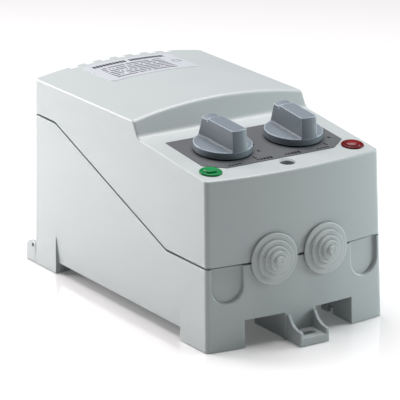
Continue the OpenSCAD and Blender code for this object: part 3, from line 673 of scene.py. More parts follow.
# what stands on the floor or goes through it
def dressFloor(shell):
    under, top = base["floorUnder"], base["floorTop"]
    post = cylinder("post", base["postRadius"], top - 1 * mm, base["postTop"], screwAt)
    fuse(shell, rounded(post, 0.4 * mm, 2))
    insertLow = base["postTop"] - base["insertDeep"]
    carve(shell, cylinder("insertHole", base["insertRadius"], insertLow, 70 * mm, screwAt))
    for x, y, reach, hole in screws:
        boss = cylinder("boss", reach, under - 6.5 * mm, under + 1 * mm, (x, y), 32)
        fuse(shell, rounded(boss, 0.3 * mm, 2))
        carve(shell, cylinder("hole", hole, under - 5.5 * mm, top + 1 * mm, (x, y), 24))
    for x in (boardLow.x + 4 * mm, boardHigh.x - 4 * mm):
        for y in (boardLow.y + 4 * mm, boardHigh.y - 4 * mm):
            fuse(shell, cylinder("standoff", 3.5 * mm, top - 1 * mm, boardLow.z, (x, y), 32))
            carve(shell, cylinder("hole", 1.3 * mm, top + 1 * mm, boardLow.z + 1 * mm, (x, y), 24))
    for step in range(base["airCount"]):
        x = (step - base["airCount"] // 2) * base["airPitch"]
        low = (x - base["airWide"] / 2, base["coreY"] - base["airHalf"], under - 1 * mm)
        high = (x + base["airWide"] / 2, base["coreY"] + base["airHalf"], top + 1 * mm)
        carve(shell, cuboid("airSlot", low, high))


def makeBase():
    shell = roundEdges(block("baseShell", baseOutline), baseEdges())
    carve(shell, block("room", hollowOutline(base["floorTop"], 0.13), housing["wall"], 14))
    carve(shell, block("under", hollowOutline(-5 * mm, base["floorUnder"]), housing["wall"], 14))
    entries = [placed(cylinder("entry", base["entryRadius"], -14 * mm, 13 * mm, segments=72),
                      entryFrame(side * panel["entryX"], panel["entryZ"])) for side in (-1, 1)]
    carve(shell, joined("entries", *entries))
    trimWalls(shell)
    fuse(shell, makeLip())
    for piece in [*makeFeet(), makeEar()]:
        twin = mirrored(piece, piece.name + "Left")
        fuse(shell, piece, twin)
    fuse(shell, makeTab())
    dressFloor(shell)
    return smooth(faceOut(shell))


shell = makeBase()
belongs(shell, "base", "base_housing")
print("base shell made:", len(shell.data.polygons), "faces")


# cable grommets: a stepped cone drawn about its own axis, the wall's face at zero

grommet = sized(neck=11.4, flange=15, back=12.9, flangeLow=0.3, flangeHigh=1.8, rise=1.75, taper=0.22,
                wall=1.3, edge=0.22, groove=0.32, seam=0.07, slitHalf=1.7)
grommet.update(steps=[radius * mm for radius in (11.3, 8.1, 5.7, 3)],
               leftTurn=152, rightTurn=176, rightSlit=85)


def makeGrommet(name, side):
    low, flange, top = -housing["wall"] - 0.3 * mm, grommet["flange"], grommet["flangeHigh"]
    rise, groove, seam = grommet["rise"], grommet["groove"], grommet["seam"]
    rings = [(grommet["back"], low - 1.4 * mm), (grommet["back"], low), (grommet["neck"], low),
             (grommet["neck"], grommet["flangeLow"]), (flange, grommet["flangeLow"]),
             (flange, top - 0.25 * mm), (flange - 0.8 * mm, top)]
    for step, radius in enumerate(grommet["steps"]):
        at = top + step * rise
        rings += [(radius + groove, at), (radius, at - groove), (radius - grommet["taper"], at + rise)]
    cone = rounded(lathe(name, rings, 96), grommet["edge"], 3, 34)
    for step, radius in enumerate(grommet["steps"]):
        carve(cone, cylinder("coneRoom", radius - grommet["wall"], low - 3 * mm,
                             top + 0.05 * mm + step * rise, segments=48))
    # the mould's parting shows as a hair line up the steps and a slit across the tip
    line = cuboid("seam", (3.5 * mm, -seam, 0.5 * mm), (flange - 0.9 * mm, seam, top + seam))
    for radius, inner in zip(grommet["steps"], grommet["steps"][1:] + [1 * mm]):
        top += rise
        fuse(line, cuboid("seamStep", (inner, -0.065 * mm, top - 1.2 * mm),
                          (radius - 0.75 * mm, 0.065 * mm, top + 0.06 * mm)))
    turn = math.radians(grommet["leftTurn"] if side < 0 else grommet["rightTurn"])
    fuse(cone, placed(line, Matrix.Rotation(turn, 4, "Z")))
    half = grommet["slitHalf"]
    slit = cuboid("slit", (-half, -0.16 * mm, top - 0.3 * mm), (half, 0.16 * mm, top + 1 * mm))
    slitTurn = turn if side < 0 else math.radians(grommet["rightSlit"])
    carve(cone, placed(slit, Matrix.Rotation(slitTurn, 4, "Z")))
    placed(cone, entryFrame(side * panel["entryX"], panel["entryZ"]))
    return smooth(faceOut(cone), 38)


grommetLeft = makeGrommet("grommetLeft", -1)
grommetRight = makeGrommet("grommetRight", 1)
belongs(grommetLeft, "base", "cable_grommet_left")
belongs(grommetRight, "base", "cable_grommet_right")
print("grommets made")


# knobs: a skirt and a grip whose ends flare into the skirt's rim

knob = sized(radius=17.1, gap=1, skirt=5.2, top=17.3, gripHalf=5.1, foot=1.1, hollow=14.6, hollowTop=3.7,
             spindle=3.04, spindleTop=13.1, pointerFrom=9.2, pointerDrop=1, groove=0.7, grooveDrop=1)
knob.update(leftTurn=4.5, flare=[(radius * mm, z * mm) for radius, z in (
    (17.06, 4.9), (16.95, 5.6), (16.75, 6.6), (16.4, 8.2), (16.0, 10.2), (15.6, 12.6), (15.25, 15.2))])


def makeKnob(name):
    radius, skirtTop, top = knob["radius"], knob["skirt"], knob["top"]
    skirt = lathe("skirt", [(radius - 0.5 * mm, knob["gap"]), (radius, knob["gap"] + 0.35 * mm),
                            (radius, skirtTop - 0.3 * mm), (radius - 0.3 * mm, skirtTop)], 128)
    half, foot = knob["gripHalf"], knob["foot"]
    wide = half + 0.15 * mm + foot
    quarter = [math.radians(90 * step / 6) for step in range(7)]
    right = [(wide - foot * math.sin(t), skirtTop - 0.02 * mm + foot - foot * math.cos(t)) for t in quarter]
    outline = [(wide, 4 * mm), *right, (half, top)]
    outline += [(-x, z) for x, z in reversed(outline)]
    grip = prism("grip", outline, "Y", -20 * mm, 20 * mm)
    rings = [(knob["flare"][0][0], 3.9 * mm), *knob["flare"], (14.9 * mm, 18 * mm)]
    carve(grip, lathe("envelope", rings, 128), operation="INTERSECT")
    # the pointer: the last few millimetres are arched across, behind a groove
    drop, far = knob["pointerDrop"], knob["pointerFrom"]
    bend = (half * half + drop * drop) / (2 * drop)
    for low, high, deeper in ((far, 20 * mm, 0), (far - knob["groove"], far, knob["grooveDrop"])):
        arch = arcPoints((0, top - deeper - bend), bend, 118, 62, 16)
        carve(grip, prism("arch", [(-9 * mm, 25 * mm)] + arch + [(9 * mm, 25 * mm)], "Y", low, high))
    rounded(grip, 0.32 * mm, 3, 42)
    fuse(skirt, grip)
    carve(skirt, cylinder("hollow", knob["hollow"], -5 * mm, knob["hollowTop"], segments=96))
    carve(skirt, cylinder("socket", knob["spindle"], -6 * mm, knob["spindleTop"], segments=32))
    faceOut(skirt)
    skirt.name = skirt.data.name = name
    return skirt


knobRight = makeKnob("knobRight")
knobLeft = copyOf(knobRight, "knobLeft")
placed(knobRight, panelFrame(panel["knobX"], panel["knobS"]))
leftTurn = Matrix.Rotation(math.radians(knob["leftTurn"]), 4, "Z")
placed(knobLeft, panelFrame(-panel["knobX"], panel["knobS"]) @ leftTurn)
for piece, body in ((knobLeft, "knob_left"), (knobRight, "knob_right")):
    belongs(smooth(piece, 34), body, body)
print("knobs made")


# pilot lamps

lamp = sized(flange=6.65, flangeThick=0.45, bezel=6.1, bezelTop=1.05, rim=5.3, rimTop=1.15, pit=0.9,
             stub=3.1, dome=4.95, domeFoot=0.75, domeRise=1.8, padX=3.75, padY=3.2, padRound=2.2,
             padTop=2.1, room=2.6)


def makeLamp(name, domed):
    rings = [(lamp["stub"], -0.6 * mm), (lamp["stub"], 0), (lamp["flange"], 0),
             (lamp["flange"], lamp["flangeThick"]), (lamp["bezel"], lamp["bezelTop"]),
             (lamp["rim"], lamp["rimTop"])]
    if domed:
        for step in range(9):
            share = math.radians(90 * step / 8)
            rings.append((max(lamp["dome"] * math.cos(share), 0.4 * mm),
                          lamp["domeFoot"] + lamp["domeRise"] * math.sin(share)))
    else:
        rings += [(lamp["rim"] - 0.35 * mm, lamp["pit"]), (0.6 * mm, lamp["pit"])]
    lens = lathe(name, rings, 64)
    if not domed:
        corners = [(x * lamp["padX"], y * lamp["padY"], lamp["padRound"], 6)
                   for x, y in ((-1, -1), (1, -1), (1, 1), (-1, 1))]
        pad = prism("pad", roundedPath(corners), "Z", 0.2 * mm, lamp["padTop"])
        fuse(lens, rounded(pad, 0.8 * mm, 4, 60))
    carve(lens, cylinder("lampRoom", lamp["room"], -3 * mm, 0.3 * mm, segments=32))
    rounded(lens, 0.14 * mm, 2, 40)
    return faceOut(lens)


for name, side, domed in (("lampGreen", -1, False), ("lampRed", 1, True)):
    lens = placed(makeLamp(name, domed), panelFrame(side * panel["lampX"], panel["lampS"]))
    shade = "red" if domed else "green"
    belongs(smooth(lens, 34), "cover", "lamp_lens_" + shade)
print("lamps made")


# printed film on the panel, its dial numbers and plain marks

film = sized(half=48, low=12, high=59, cutX=11.5, cutS=9, thick=0.3, bush=5.2, ink=0.04, numberRadius=20.6,
             numberSize=4.6, numberBold=0.07, wedgeX=9.5, wedgeStep=2.2, wedgeUp=2.9,
             rowX=33.5, rowStep=2.3, rowUp=2.2, rowHigh=1.1, markWide=1.6)


def makeFilm():
    half, low, high, cutX, cutS = (film[key] for key in ("half", "low", "high", "cutX", "cutS"))
    outline = [(-half, high), (half, high), (half, low + cutS), (half - cutX, low), (cutX - half, low),
               (-half, low + cutS)]
    sheet = prism("panelFilm", outline, "Z", 0.01 * mm, film["thick"])
    for side in (-1, 1):
        knobAt = (side * panel["knobX"], panel["knobS"])
        carve(sheet, cylinder("bush", film["bush"], -1 * mm, 2 * mm, knobAt))
    rounded(sheet, 0.08 * mm, 2)
    return smooth(placed(sheet, panelFrame(0, 0)), 30)


def makeNumber(digit, at):
    deselect()
    bpy.ops.object.text_add(location=(0, 0, 0))
    text = bpy.context.object
    text.data.body = str(digit)
    text.data.size = film["numberSize"]
    text.data.align_x, text.data.align_y = "CENTER", "CENTER"
    text.data.extrude = film["ink"] / 2
    text.data.offset = film["numberBold"]
    text.data.resolution_u = 4
    bpy.ops.object.convert(target="MESH")
    number = faceOut(named("dialNumber"))
    return placed(number, Matrix.Translation((*at, film["ink"] / 2)))


def bar(x, s, width, height):
    return cuboid("mark", (x - width / 2, s - height / 2, 0), (x + width / 2, s + height / 2, film["ink"]))


def makeInk():
    marks = []
    wedgeS, rowS = film["low"] + film["wedgeUp"], film["low"] + film["rowUp"]
    for side in (-1, 1):
        for digit in range(6):
            turn = math.radians(90 - 30 * digit)
            away = Vector((math.cos(turn), math.sin(turn))) * film["numberRadius"]
            marks.append(makeNumber(digit, (side * panel["knobX"] + away.x, panel["knobS"] + away.y)))
        # a wedge that widens clockwise stands for the missing words
        for step in range(5):
            x = side * film["wedgeX"] + (step - 2) * film["wedgeStep"]
            marks.append(bar(x, wedgeS, film["markWide"], (1.2 + 0.4 * step) * mm))
        for step in range(4):
            x = side * (film["rowX"] - film["rowStep"] * step)
            marks.append(bar(x, rowS, film["markWide"], film["rowHigh"]))
    # ink stands a hair above the film
    onFilm = panelFrame(0, 0) @ Matrix.Translation((0, 0, film["thick"]))
    return placed(joined("dialInk", *marks), onFilm)


panelFilm = makeFilm()
belongs(panelFilm, "cover", "panel_overlay")
dialInk = makeInk()
belongs(dialInk, "cover", None)
print("panel film and dial numbers made")


# rating plate that follows the roof

plate = sized(half=30.5, depth=36, x=-1, round=3, thick=0.2)
plate["y"] = frontY + 161 * mm


def makePlate():
    def section(side):
        ends = (rearY - 60 * mm, rearY - 2 * mm)
        low = [Vector((y, roofAt(side, y) + 0.005 * mm)) for y in ends]
        high = [Vector((y, roofAt(side, y) + plate["thick"])) for y in reversed(ends)]
        return low + high
    sheet = block("ratingPlate", section)
    x, y, half, deep = plate["x"], plate["y"], plate["half"], plate["depth"] / 2
    corners = [(x + a * half, y + b * deep, plate["round"], 8)
               for a, b in ((-1, -1), (1, -1), (1, 1), (-1, 1))]
    carve(sheet, prism("outline", roundedPath(corners), "Z", 0.1, 0.14), operation="INTERSECT")
    return smooth(sheet, 30)


ratingPlate = makePlate()
belongs(ratingPlate, "cover", "rating_label")
print("rating plate made")


# finishes

class Wire:
    # a socket that can be reckoned with
    def __init__(self, shader, socket):
        self.shader, self.socket = shader, socket

    def sum(self, operation, first, second=0.0):
        return self.shader.node("Math", {"operation": operation}, {0: first, 1: second})

    def __add__(self, other):
        return self.sum("ADD", self, other)

    def __sub__(self, other):
        return self.sum("SUBTRACT", self, other)

    def __rsub__(self, other):
        return self.sum("SUBTRACT", other, self)

    def __mul__(self, other):
        return self.sum("MULTIPLY", self, other)

    def __mod__(self, other):
        return self.sum("FLOORED_MODULO", self, other)

    def __gt__(self, other):
        return self.sum("GREATER_THAN", self, other)

    def __lt__(self, other):
        return self.sum("LESS_THAN", self, other)

    def __abs__(self):
        return self.sum("ABSOLUTE", self)

    def floor(self):
        return self.sum("FLOOR", self)

    def within(self, low=0.0, high=1.0):
        return self.shader.node("Clamp", {}, {"Value": self, "Min": low, "Max": high})

    __radd__, __rmul__ = __add__, __mul__


class Shader:
    # one finish and its nodes
    def __init__(self, name):
        self.material = bpy.data.materials.new(name)
        self.material.use_nodes = True
        self.tree = self.material.node_tree
        self.tree.nodes.clear()

    def node(self, kind, settings=None, values=None, out=0):
        made = self.tree.nodes.new("ShaderNode" + kind)
        for key, value in (settings or {}).items():
            setattr(made, key, value)
        for key, value in (values or {}).items():
            if isinstance(value, Wire):
                self.tree.links.new(value.socket, made.inputs[key])
            else:
                made.inputs[key].default_value = value
        return Wire(self, made.outputs[out]) if made.outputs else made

    def vector(self, operation, first, second=(0, 0, 0), out="Vector"):
        return self.node("VectorMath", {"operation": operation}, {0: first, 1: second}, out)

    def place(self, centre=(0, 0, 0), turn=(0, 0, 0)):
        where = self.node("TexCoord", out="Object")
        if any(centre):
            where = self.vector("SUBTRACT", where, centre)
        if any(turn):
            where = self.node("Mapping", {}, {"Vector": where, "Rotation": turn})
        return where

    def axes(self, where):
        parts = self.node("SeparateXYZ", {}, {0: where})
        return [Wire(self, parts.socket.node.outputs[i]) for i in range(3)]

    def noise(self, where, scale, detail=2.0, roughness=0.5):
        values = {"Vector": where, "Scale": scale, "Detail": detail, "Roughness": roughness}
        return self.node("TexNoise", {}, values)

    def mix(self, share, first, second):
        return self.node("Mix", {"data_type": "RGBA"}, {0: share, 6: first, 7: second}, out=2)

    def tint(self, colour, by):
        # brightens or darkens a colour by a varying number
        grey = self.node("CombineColor", {}, {0: by, 1: by, 2: by})
        settings = {"data_type": "RGBA", "blend_type": "MULTIPLY"}
        return self.node("Mix", settings, {0: 1.0, 6: colour, 7: grey}, out=2)

    def edges(self, radius):
        # a rounded normal, and a mask that is high where the surface turns; the finishes lighten their
        # colour by this mask as a painted highlight
        soft = self.node("Bevel", {"samples": 6}, {"Radius": radius})
        flat = self.node("NewGeometry", out="Normal")
        turned = self.vector("DOT_PRODUCT", soft, flat, "Value")
        return soft, ((1.0 - turned) * 9.0).within()

    def bump(self, height, distance, strength, normal=None):
        values = {"Height": height, "Distance": distance, "Strength": strength}
        if normal is not None:
            values["Normal"] = normal
        return self.node("Bump", {}, values)

    def surface(self, colour, roughness, normal, **constants):
        values = {"Base Color": colour, "Roughness": roughness, "Normal": normal}
        values.update({key.replace("_", " "): value for key, value in constants.items()})
        skin = self.node("BsdfPrincipled", {}, values)
        self.node("OutputMaterial", {}, {"Surface": skin})
        return self.material


def rgb(*channels):
    return (*channels, 1.0)


# moulded plastics: a broad tint, a fine spark grain, flow marks and a painted highlight along the edges
def mouldedFinish(name, look):
    s = Shader(name)
    where = s.place()
    broad, fleck, grain = s.noise(where, 24, 3), s.noise(where, 900, 2, 0.6), s.noise(where, 2600, 3, 0.7)
    soft, edge = s.edges(look.get("edgeRadius", 0.45 * mm))
    shade = 1.0 + (broad - 0.5) * look.get("broad", 0.05)
    shade = shade + (fleck - 0.5) * look.get("fleck", 0.025)
    # the edge mask lightens the colour along turned edges: a painted highlight
    colour = s.tint(rgb(*look["colour"]), shade + edge * look.get("edge", 0.05))
    roughness = look["roughness"] + (fleck - 0.5) * 0.12 + (broad - 0.5) * 0.08 - edge * 0.06
    normal = s.bump(grain, look.get("grainDepth", 0.02) * mm, 0.35, soft)
    return s.surface(colour, roughness, normal, IOR=1.5, **look.get("constants", {}))


# drawn or plated metals: fine lines along one axis, clouding and a painted highlight along the edges
def metalFinish(name, look):
    s = Shader(name)
    where = s.place()
    lines = s.noise(s.vector("MULTIPLY", where, (60, 900, 900)), 1.0, 3, 0.6)
    cloud = s.noise(where, 120, 4, 0.6)
    soft, edge = s.edges(0.25 * mm)
    # edge lightens the colour along turned edges: a painted highlight
    shade = 0.92 + lines * 0.12 + (cloud - 0.5) * look.get("cloud", 0.18) + edge * 0.15
    roughness = look["roughness"] + (lines - 0.5) * 0.15 + (cloud - 0.5) * 0.2
    normal = s.bump(lines, 0.02 * mm, 0.3, soft)
    return s.surface(s.tint(rgb(*look["colour"]), shade), roughness, normal, Metallic=1.0)


# edge sets how far each finish's colour is lightened along turned edges, a painted highlight
moulded = {
    "housingPlastic": {"colour": (0.374, 0.410, 0.409), "roughness": 0.34, "broad": 0.035, "fleck": 0.02,
                       "edge": 0.22, "grainDepth": 0.012, "edgeRadius": 0.55 * mm},
    "grommetPlastic": {"colour": (0.41, 0.445, 0.44), "roughness": 0.42, "edge": 0.8},
    "knobPlastic": {"colour": (0.152, 0.182, 0.208), "roughness": 0.36, "broad": 0.08, "fleck": 0.06,
                    "edge": 2.6, "grainDepth": 0.016, "edgeRadius": 0.75 * mm},
    "blackPlastic": {"colour": (0.018, 0.019, 0.02), "roughness": 0.42, "broad": 0.2, "edge": 0.6},
    "bobbinPlastic": {"colour": (0.045, 0.05, 0.055), "roughness": 0.5, "broad": 0.15, "edge": 0.5},
    "terminalPlastic": {"colour": (0.70, 0.67, 0.56), "roughness": 0.45, "broad": 0.06, "edge": 0.08},
    "washerRubber": {"colour": (0.02, 0.02, 0.021), "roughness": 0.75, "grainDepth": 0.04, "edge": 0.3},
    "dialInk": {"colour": (0.006, 0.006, 0.007), "roughness": 0.6, "fleck": 0.5, "edge": 0.0,
                "edgeRadius": 0.05 * mm, "constants": {"Specular IOR Level": 0.05}},
}
metals = {
    "zincSteel": {"colour": (0.62, 0.65, 0.68), "roughness": 0.34},
    "tinnedMetal": {"colour": (0.72, 0.72, 0.70), "roughness": 0.3, "cloud": 0.25},
    "brass": {"colour": (0.66, 0.47, 0.20), "roughness": 0.28},
}
finish = {name: mouldedFinish(name, look) for name, look in moulded.items()}
finish.update({name: metalFinish(name, look) for name, look in metals.items()})


def coreFinish():
    # stacked sheets: their edges show as lines, and the varnish has run
    s = Shader("coreSteel")
    where = s.place()
    x, y, z = s.axes(where)
    sheets = abs((y * 2000.0 + s.noise(where, 60, 2) * 0.6) % 1.0 - 0.5)
    varnish = s.noise(where, 70, 5, 0.65)
    soft, edge = s.edges(0.3 * mm)
    colour = s.mix((varnish - 0.45).within() * 2.2, rgb(0.13, 0.125, 0.12), rgb(0.20, 0.13, 0.075))
    # edge lightens the colour along the core's edges: a painted highlight
    colour = s.tint(colour, 0.72 + sheets * 0.7 + edge * 0.4)
    return s.surface(colour, 0.34 + varnish * 0.25, s.bump(sheets, 0.12 * mm, 0.8, soft), Metallic=0.75)


def copperFinish():
    # enamelled wire, each layer a shade apart
    s = Shader("enamelCopper")
    where = s.place()
    x, y, z = s.axes(where)
    turns = s.noise(s.node("CombineXYZ", {}, {2: (z * 900.0).floor()}), 3.1, 0)
    cloud = s.noise(where, 150, 3)
    colour = s.tint(rgb(0.62, 0.22, 0.06), 0.8 + turns * 0.35 + cloud * 0.15)
    normal = s.bump(cloud, 0.03 * mm, 0.4)
    return s.surface(colour, 0.24 + cloud * 0.12, normal, Metallic=0.85, Coat_Weight=0.5)


def tapeFinish():
    # overlapped tape: an edge every turn, darker where it laps, bubbles under it
    s = Shader("windingTape")
    where = s.place()
    x, y, z = s.axes(where)
    lap = ((z + x * 0.02) * 95.0) % 1.0
    bubbles = s.noise(where, 260, 3)
    step = (lap < 0.12) * 0.3
    colour = s.tint(rgb(0.74, 0.52, 0.10), 1.0 - step + (bubbles - 0.5) * 0.15)
    normal = s.bump(lap * 0.5 + bubbles * 0.2, 0.15 * mm, 0.6)
    return s.surface(colour, 0.3 + bubbles * 0.2, normal, Coat_Weight=0.4)


def boardFinish():
    # lacquered board: tracks under the mask, pads and fine weave
    s = Shader("circuitBoard")
    where = s.place()
    x, y, z = s.axes(where)
    cells = s.vector("SNAP", where, (5.08 * mm, 2.54 * mm, 0.1))
    pick = s.node("TexWhiteNoise", {"noise_dimensions": "3D"}, {"Vector": cells})
    acrossX = abs(x * (1000.0 / 5.08) % 1.0 - 0.5)
    acrossY = abs(y * (1000.0 / 2.54) % 1.0 - 0.5)
    track = ((acrossY < 0.2) * (pick > 0.45) + (acrossX < 0.1) * (pick < 0.35)).within()
    pad = (acrossX < 0.13) * (acrossY < 0.26) * (pick > 0.62)
    waves = {"Vector": where, "Scale": 500.0, "Distortion": 2.0}
    weave = s.node("TexWave", {"wave_type": "BANDS"}, waves, out=1)
    colour = s.mix(track, rgb(0.012, 0.115, 0.045), rgb(0.03, 0.20, 0.075))
    colour = s.mix(pad, colour, rgb(0.62, 0.60, 0.55))
    colour = s.tint(colour, 0.9 + weave * 0.15)
    height = track * 0.6 + pad * 0.8 + weave * 0.15
    normal = s.bump(height, 0.06 * mm, 0.7)
    return s.surface(colour, 0.28 + weave * 0.1, normal, Metallic=pad * 0.9, Coat_Weight=0.3)


def glassFinish():
    s = Shader("fuseGlass")
    where = s.place()
    smears = s.noise(where, 220, 3)
    colour = s.tint(rgb(0.86, 0.9, 0.88), 0.94 + smears * 0.08)
    normal = s.bump(smears, 0.01 * mm, 0.2)
    return s.surface(colour, 0.04 + smears * 0.08, normal, Transmission_Weight=0.85, IOR=1.5)


def leadFinish():
    # each lead has its own colour, from where it stands across
    s = Shader("leadInsulation")
    where = s.place()
    x, y, z = s.axes(where)
    which = (x * (1000.0 / 8.0) + 3.0).floor()
    pick = s.node("TexWhiteNoise", {"noise_dimensions": "1D"}, {"W": which}, out="Color")
    hue = s.node("HueSaturation", {}, {"Color": pick, "Saturation": 1.25, "Value": 0.75})
    rub = s.noise(where, 700, 3)
    colour = s.tint(hue, 0.8 + rub * 0.25)
    return s.surface(colour, 0.4 + rub * 0.15, s.bump(rub, 0.02 * mm, 0.4), Coat_Weight=0.1)


def filmFinish():
    # printed film: a fine orange-peel, a slight printing mottle and a painted highlight along its edges
    s = Shader("panelFilm")
    where = s.place()
    peel = s.noise(where, 1500, 2, 0.6)
    mottle = s.noise(where, 45, 4, 0.6)
    soft, edge = s.edges(0.12 * mm)
    # edge lightens the film's colour along its edges: a painted highlight
    colour = s.tint(rgb(0.086, 0.093, 0.098), 0.94 + (mottle - 0.5) * 0.16 + peel * 0.12 + edge * 0.5)
    roughness = 0.42 + (mottle - 0.5) * 0.15 + peel * 0.08
    return s.surface(colour, roughness, s.bump(peel, 0.02 * mm, 0.5, soft), Specular_IOR_Level=0.2)


plateInk = sized(rowPitch=3.3, smallCell=1.15, titleCell=2.3, titleY=12.4, titleHalf=1.9,
                 blockX=-3, blockHalf=21, blockTop=8.2, blockLow=-15.5,
                 boxX=25, boxY=-1, boxHalf=2.2, boxEnd=2.4, boxLine=0.3)


def plateFinish():
    # silvery foil with rows of plain bars, two wide titles and one empty box
    s, ink = Shader("plateFoil"), plateInk
    x, y, z = s.axes(s.place((plate["x"], plate["y"], 0)))
    brushed = s.noise(s.vector("MULTIPLY", s.place(), (40, 1400, 40)), 1.0, 3, 0.6)
    across, down = x + 30 * mm, (y + 18 * mm) * (1 / ink["rowPitch"])
    row, inRow = down.floor(), down % 1.0
    cell, inCell = (across * (1 / ink["smallCell"])).floor(), (across * (1 / ink["smallCell"])) % 1.0
    inTitle = (across * (1 / ink["titleCell"])) % 1.0
    words = s.node("CombineXYZ", {}, {0: cell, 1: row})
    pick = s.node("TexWhiteNoise", {"noise_dimensions": "2D"}, {"Vector": words})
    small = (inRow > 0.24) * (inRow < 0.70) * (pick > 0.14) * (inCell < 0.9)
    small = small * (y < ink["blockTop"]) * (y > ink["blockLow"])
    small = small * (abs(x - ink["blockX"]) < ink["blockHalf"])
    title = (abs(x + 14 * mm) < 11.5 * mm) + (abs(x - 12 * mm) < 12 * mm)
    title = title * (abs(y - ink["titleY"]) < ink["titleHalf"]) * (inTitle < 0.84)
    half, end, line = ink["boxHalf"], ink["boxEnd"], ink["boxLine"]
    boxX, boxY = abs(x - ink["boxX"]), abs(y - ink["boxY"])
    box = (abs(boxX - half) < line) * (boxY < end) + (abs(boxY - half) < line) * (boxX < end)
    printed = (small * 0.9 + title * 0.95 + box * 0.9).within()
    colour = s.tint(rgb(0.425, 0.45, 0.475), 0.92 + brushed * 0.16)
    colour = s.mix(printed, colour, rgb(0.02, 0.022, 0.028))
    normal = s.bump(brushed, 0.01 * mm, 0.3)
    return s.surface(colour, 0.32 + brushed * 0.12, normal, Metallic=(1.0 - printed) * 0.08)


def lensFinish(name, colour, deep, side, depth):
    # coloured clear plastic over a faceted seat, with painted light: lighter towards the middle and a
    # painted highlight along the edges
    s = Shader(name)
    centre = panelFrame(side * panel["lampX"], panel["lampS"]).translation
    where = s.place(tuple(centre), (-housing["slope"], 0, 0))
    x, y, z = s.axes(where)
    facets = s.node("TexVoronoi", {"feature": "DISTANCE_TO_EDGE"}, {"Vector": where, "Scale": 900.0})
    cloud = s.noise(where, 260, 2)
    out = s.vector("LENGTH", s.node("CombineXYZ", {}, {0: x, 1: y}), out="Value") * (1 / lamp["flange"])
    # glow is painted light through the clear plastic: the colour is deep at the rim and lighter towards the
    # middle
    glow = (1.0 - out * depth + (cloud - 0.5) * 0.3 + facets * 0.5).within()
    soft, edge = s.edges(0.25 * mm)
    tone = s.mix(glow, rgb(*deep), rgb(*colour))
    # edge lightens the colour along the lens's edges: a painted highlight
    tone = s.tint(tone, 0.9 + edge * 0.45)
    normal = s.bump(facets, 0.08 * mm, 0.2, soft)
    return s.surface(tone, 0.26 + cloud * 0.08, normal, Specular_IOR_Level=0.3, IOR=1.45)


finish["coreSteel"] = coreFinish()
finish["enamelCopper"] = copperFinish()
finish["windingTape"] = tapeFinish()
finish["circuitBoard"] = boardFinish()
finish["fuseGlass"] = glassFinish()
finish["leadInsulation"] = leadFinish()
finish["panelFilm"] = filmFinish()
finish["plateFoil"] = plateFinish()
finish["lensGreen"] = lensFinish("lensGreen", (0.0, 0.22, 0.055), (0.0, 0.085, 0.022), -1, 0.55)
finish["lensRed"] = lensFinish("lensRed", (0.19, 0.004, 0.006), (0.07, 0.001, 0.002), 1, 0.75)
print("finishes made:", len(finish))

wears = {
    "housingPlastic": ["baseShell", "coverShell"], "grommetPlastic": ["grommetLeft", "grommetRight"],
    "knobPlastic": ["knobLeft", "knobRight"],
    "panelFilm": ["panelFilm"], "dialInk": ["dialInk"], "plateFoil": ["ratingPlate"],
    "lensGreen": ["lampGreen"], "lensRed": ["lampRed"],
    "brass": ["screw_insert", "terminal_clamps", "earth_clamp", "switch_tabs"],
    "coreSteel": ["transformer_core"], "bobbinPlastic": ["winding_bobbin"],
    "enamelCopper": ["copper_winding"],
    "windingTape": ["winding_tape"], "tinnedMetal": ["winding_tags", "fuse_caps"],
    "zincSteel": ["core_bracket_front", "core_bracket_rear", "core_bolts", "core_nuts",
                  "transformer_screws", "terminal_screws", "block_screws", "earth_screw",
                  "board_screws", "cover_screw", "switch_nuts", "spindle_left", "spindle_right"],
    "terminalPlastic": ["terminal_block", "lead_header", "lamp_body_green", "lamp_body_red"],
    "circuitBoard": ["control_board"], "fuseGlass": ["fuse_tube"], "leadInsulation": ["tap_leads"],
    "blackPlastic": ["trip_relay", "fuse_holder", "switch_body_left", "switch_body_right", "lamp_nuts"],
    "washerRubber": ["screw_washer"],
}
for name, pieces in wears.items():
    for piece in pieces:
        worn = bpy.data.objects[piece].data.materials
        worn.clear()
        worn.append(finish[name])


# floor, lights and camera

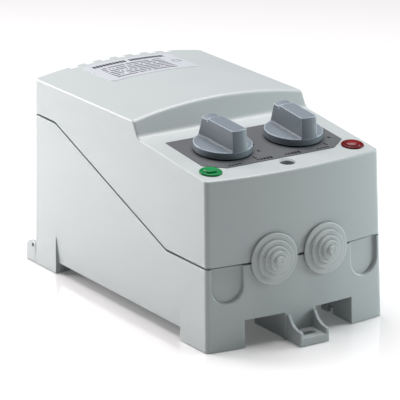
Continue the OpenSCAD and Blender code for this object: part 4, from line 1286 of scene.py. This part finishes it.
studio = {
    "floor": 0.72, "glow": 0.08, "world": 0.05, "worldColour": (0.85, 1.0, 1.0),
    "top": {"at": (0.10, 0.20, 1.30), "size": 1.25, "power": 33.0, "colour": (1.0, 0.955, 0.968)},
    "left": {"at": (-0.42, 0.58, 0.25), "size": 0.38, "power": 5.6, "colour": (1.0, 0.97, 0.975)},
    "right": {"at": (0.70, -0.30, 0.22), "size": 0.36, "power": 4.6, "colour": (0.88, 1.0, 1.0)},
}

deselect()
bpy.ops.mesh.primitive_plane_add(size=8, location=(0, 0, -0.0004))
floorSheet = settle(named("floorSheet"))
floorShader = Shader("floorPaint")
speck = floorShader.noise(floorShader.place(), 14, 3)
floorSheet.data.materials.append(floorShader.surface(
    floorShader.tint(rgb(studio["floor"], studio["floor"], studio["floor"]), 0.995 + speck * 0.01),
    0.13 + speck * 0.02, floorShader.bump(speck, 0.01 * mm, 0.05),
    Emission_Color=rgb(1, 1, 1), Emission_Strength=studio["glow"]))

centre = Vector([(low + high) / 2 for low, high in zip(*cadBox)])
for name in ("top", "left", "right"):
    lightData = bpy.data.lights.new(name + "Light", "AREA")
    lightData.shape = "SQUARE"
    lightData.size, lightData.energy = studio[name]["size"], studio[name]["power"]
    lightData.color = studio[name]["colour"]
    light = bpy.data.objects.new(name + "Light", lightData)
    light.location = studio[name]["at"]
    light.rotation_euler = (Vector(studio[name]["at"]) - centre).to_track_quat("Z", "Y").to_euler()
    bpy.context.scene.collection.objects.link(light)

world = bpy.data.worlds.new("studioWorld")
bpy.context.scene.world = world
world.use_nodes = True
world.node_tree.nodes["Background"].inputs["Color"].default_value = rgb(*studio["worldColour"])
world.node_tree.nodes["Background"].inputs["Strength"].default_value = studio["world"]

view = {"at": (-1.1005, -1.69112, 0.70543), "tilt": 72.157, "turn": -32.902, "lens": 325.3,
        "sensor": 36, "reach": 20}
lensData = bpy.data.cameras.new("studioCamera")
lensData.lens, lensData.sensor_width, lensData.clip_end = view["lens"], view["sensor"], view["reach"]
camera = bpy.data.objects.new("studioCamera", lensData)
camera.location = view["at"]
camera.rotation_euler = (math.radians(view["tilt"]), 0, math.radians(view["turn"]))
bpy.context.scene.collection.objects.link(camera)
bpy.context.scene.camera = camera
bpy.context.scene.view_settings.view_transform = "Standard"
print("stage ready")

bpy.context.view_layer.update()
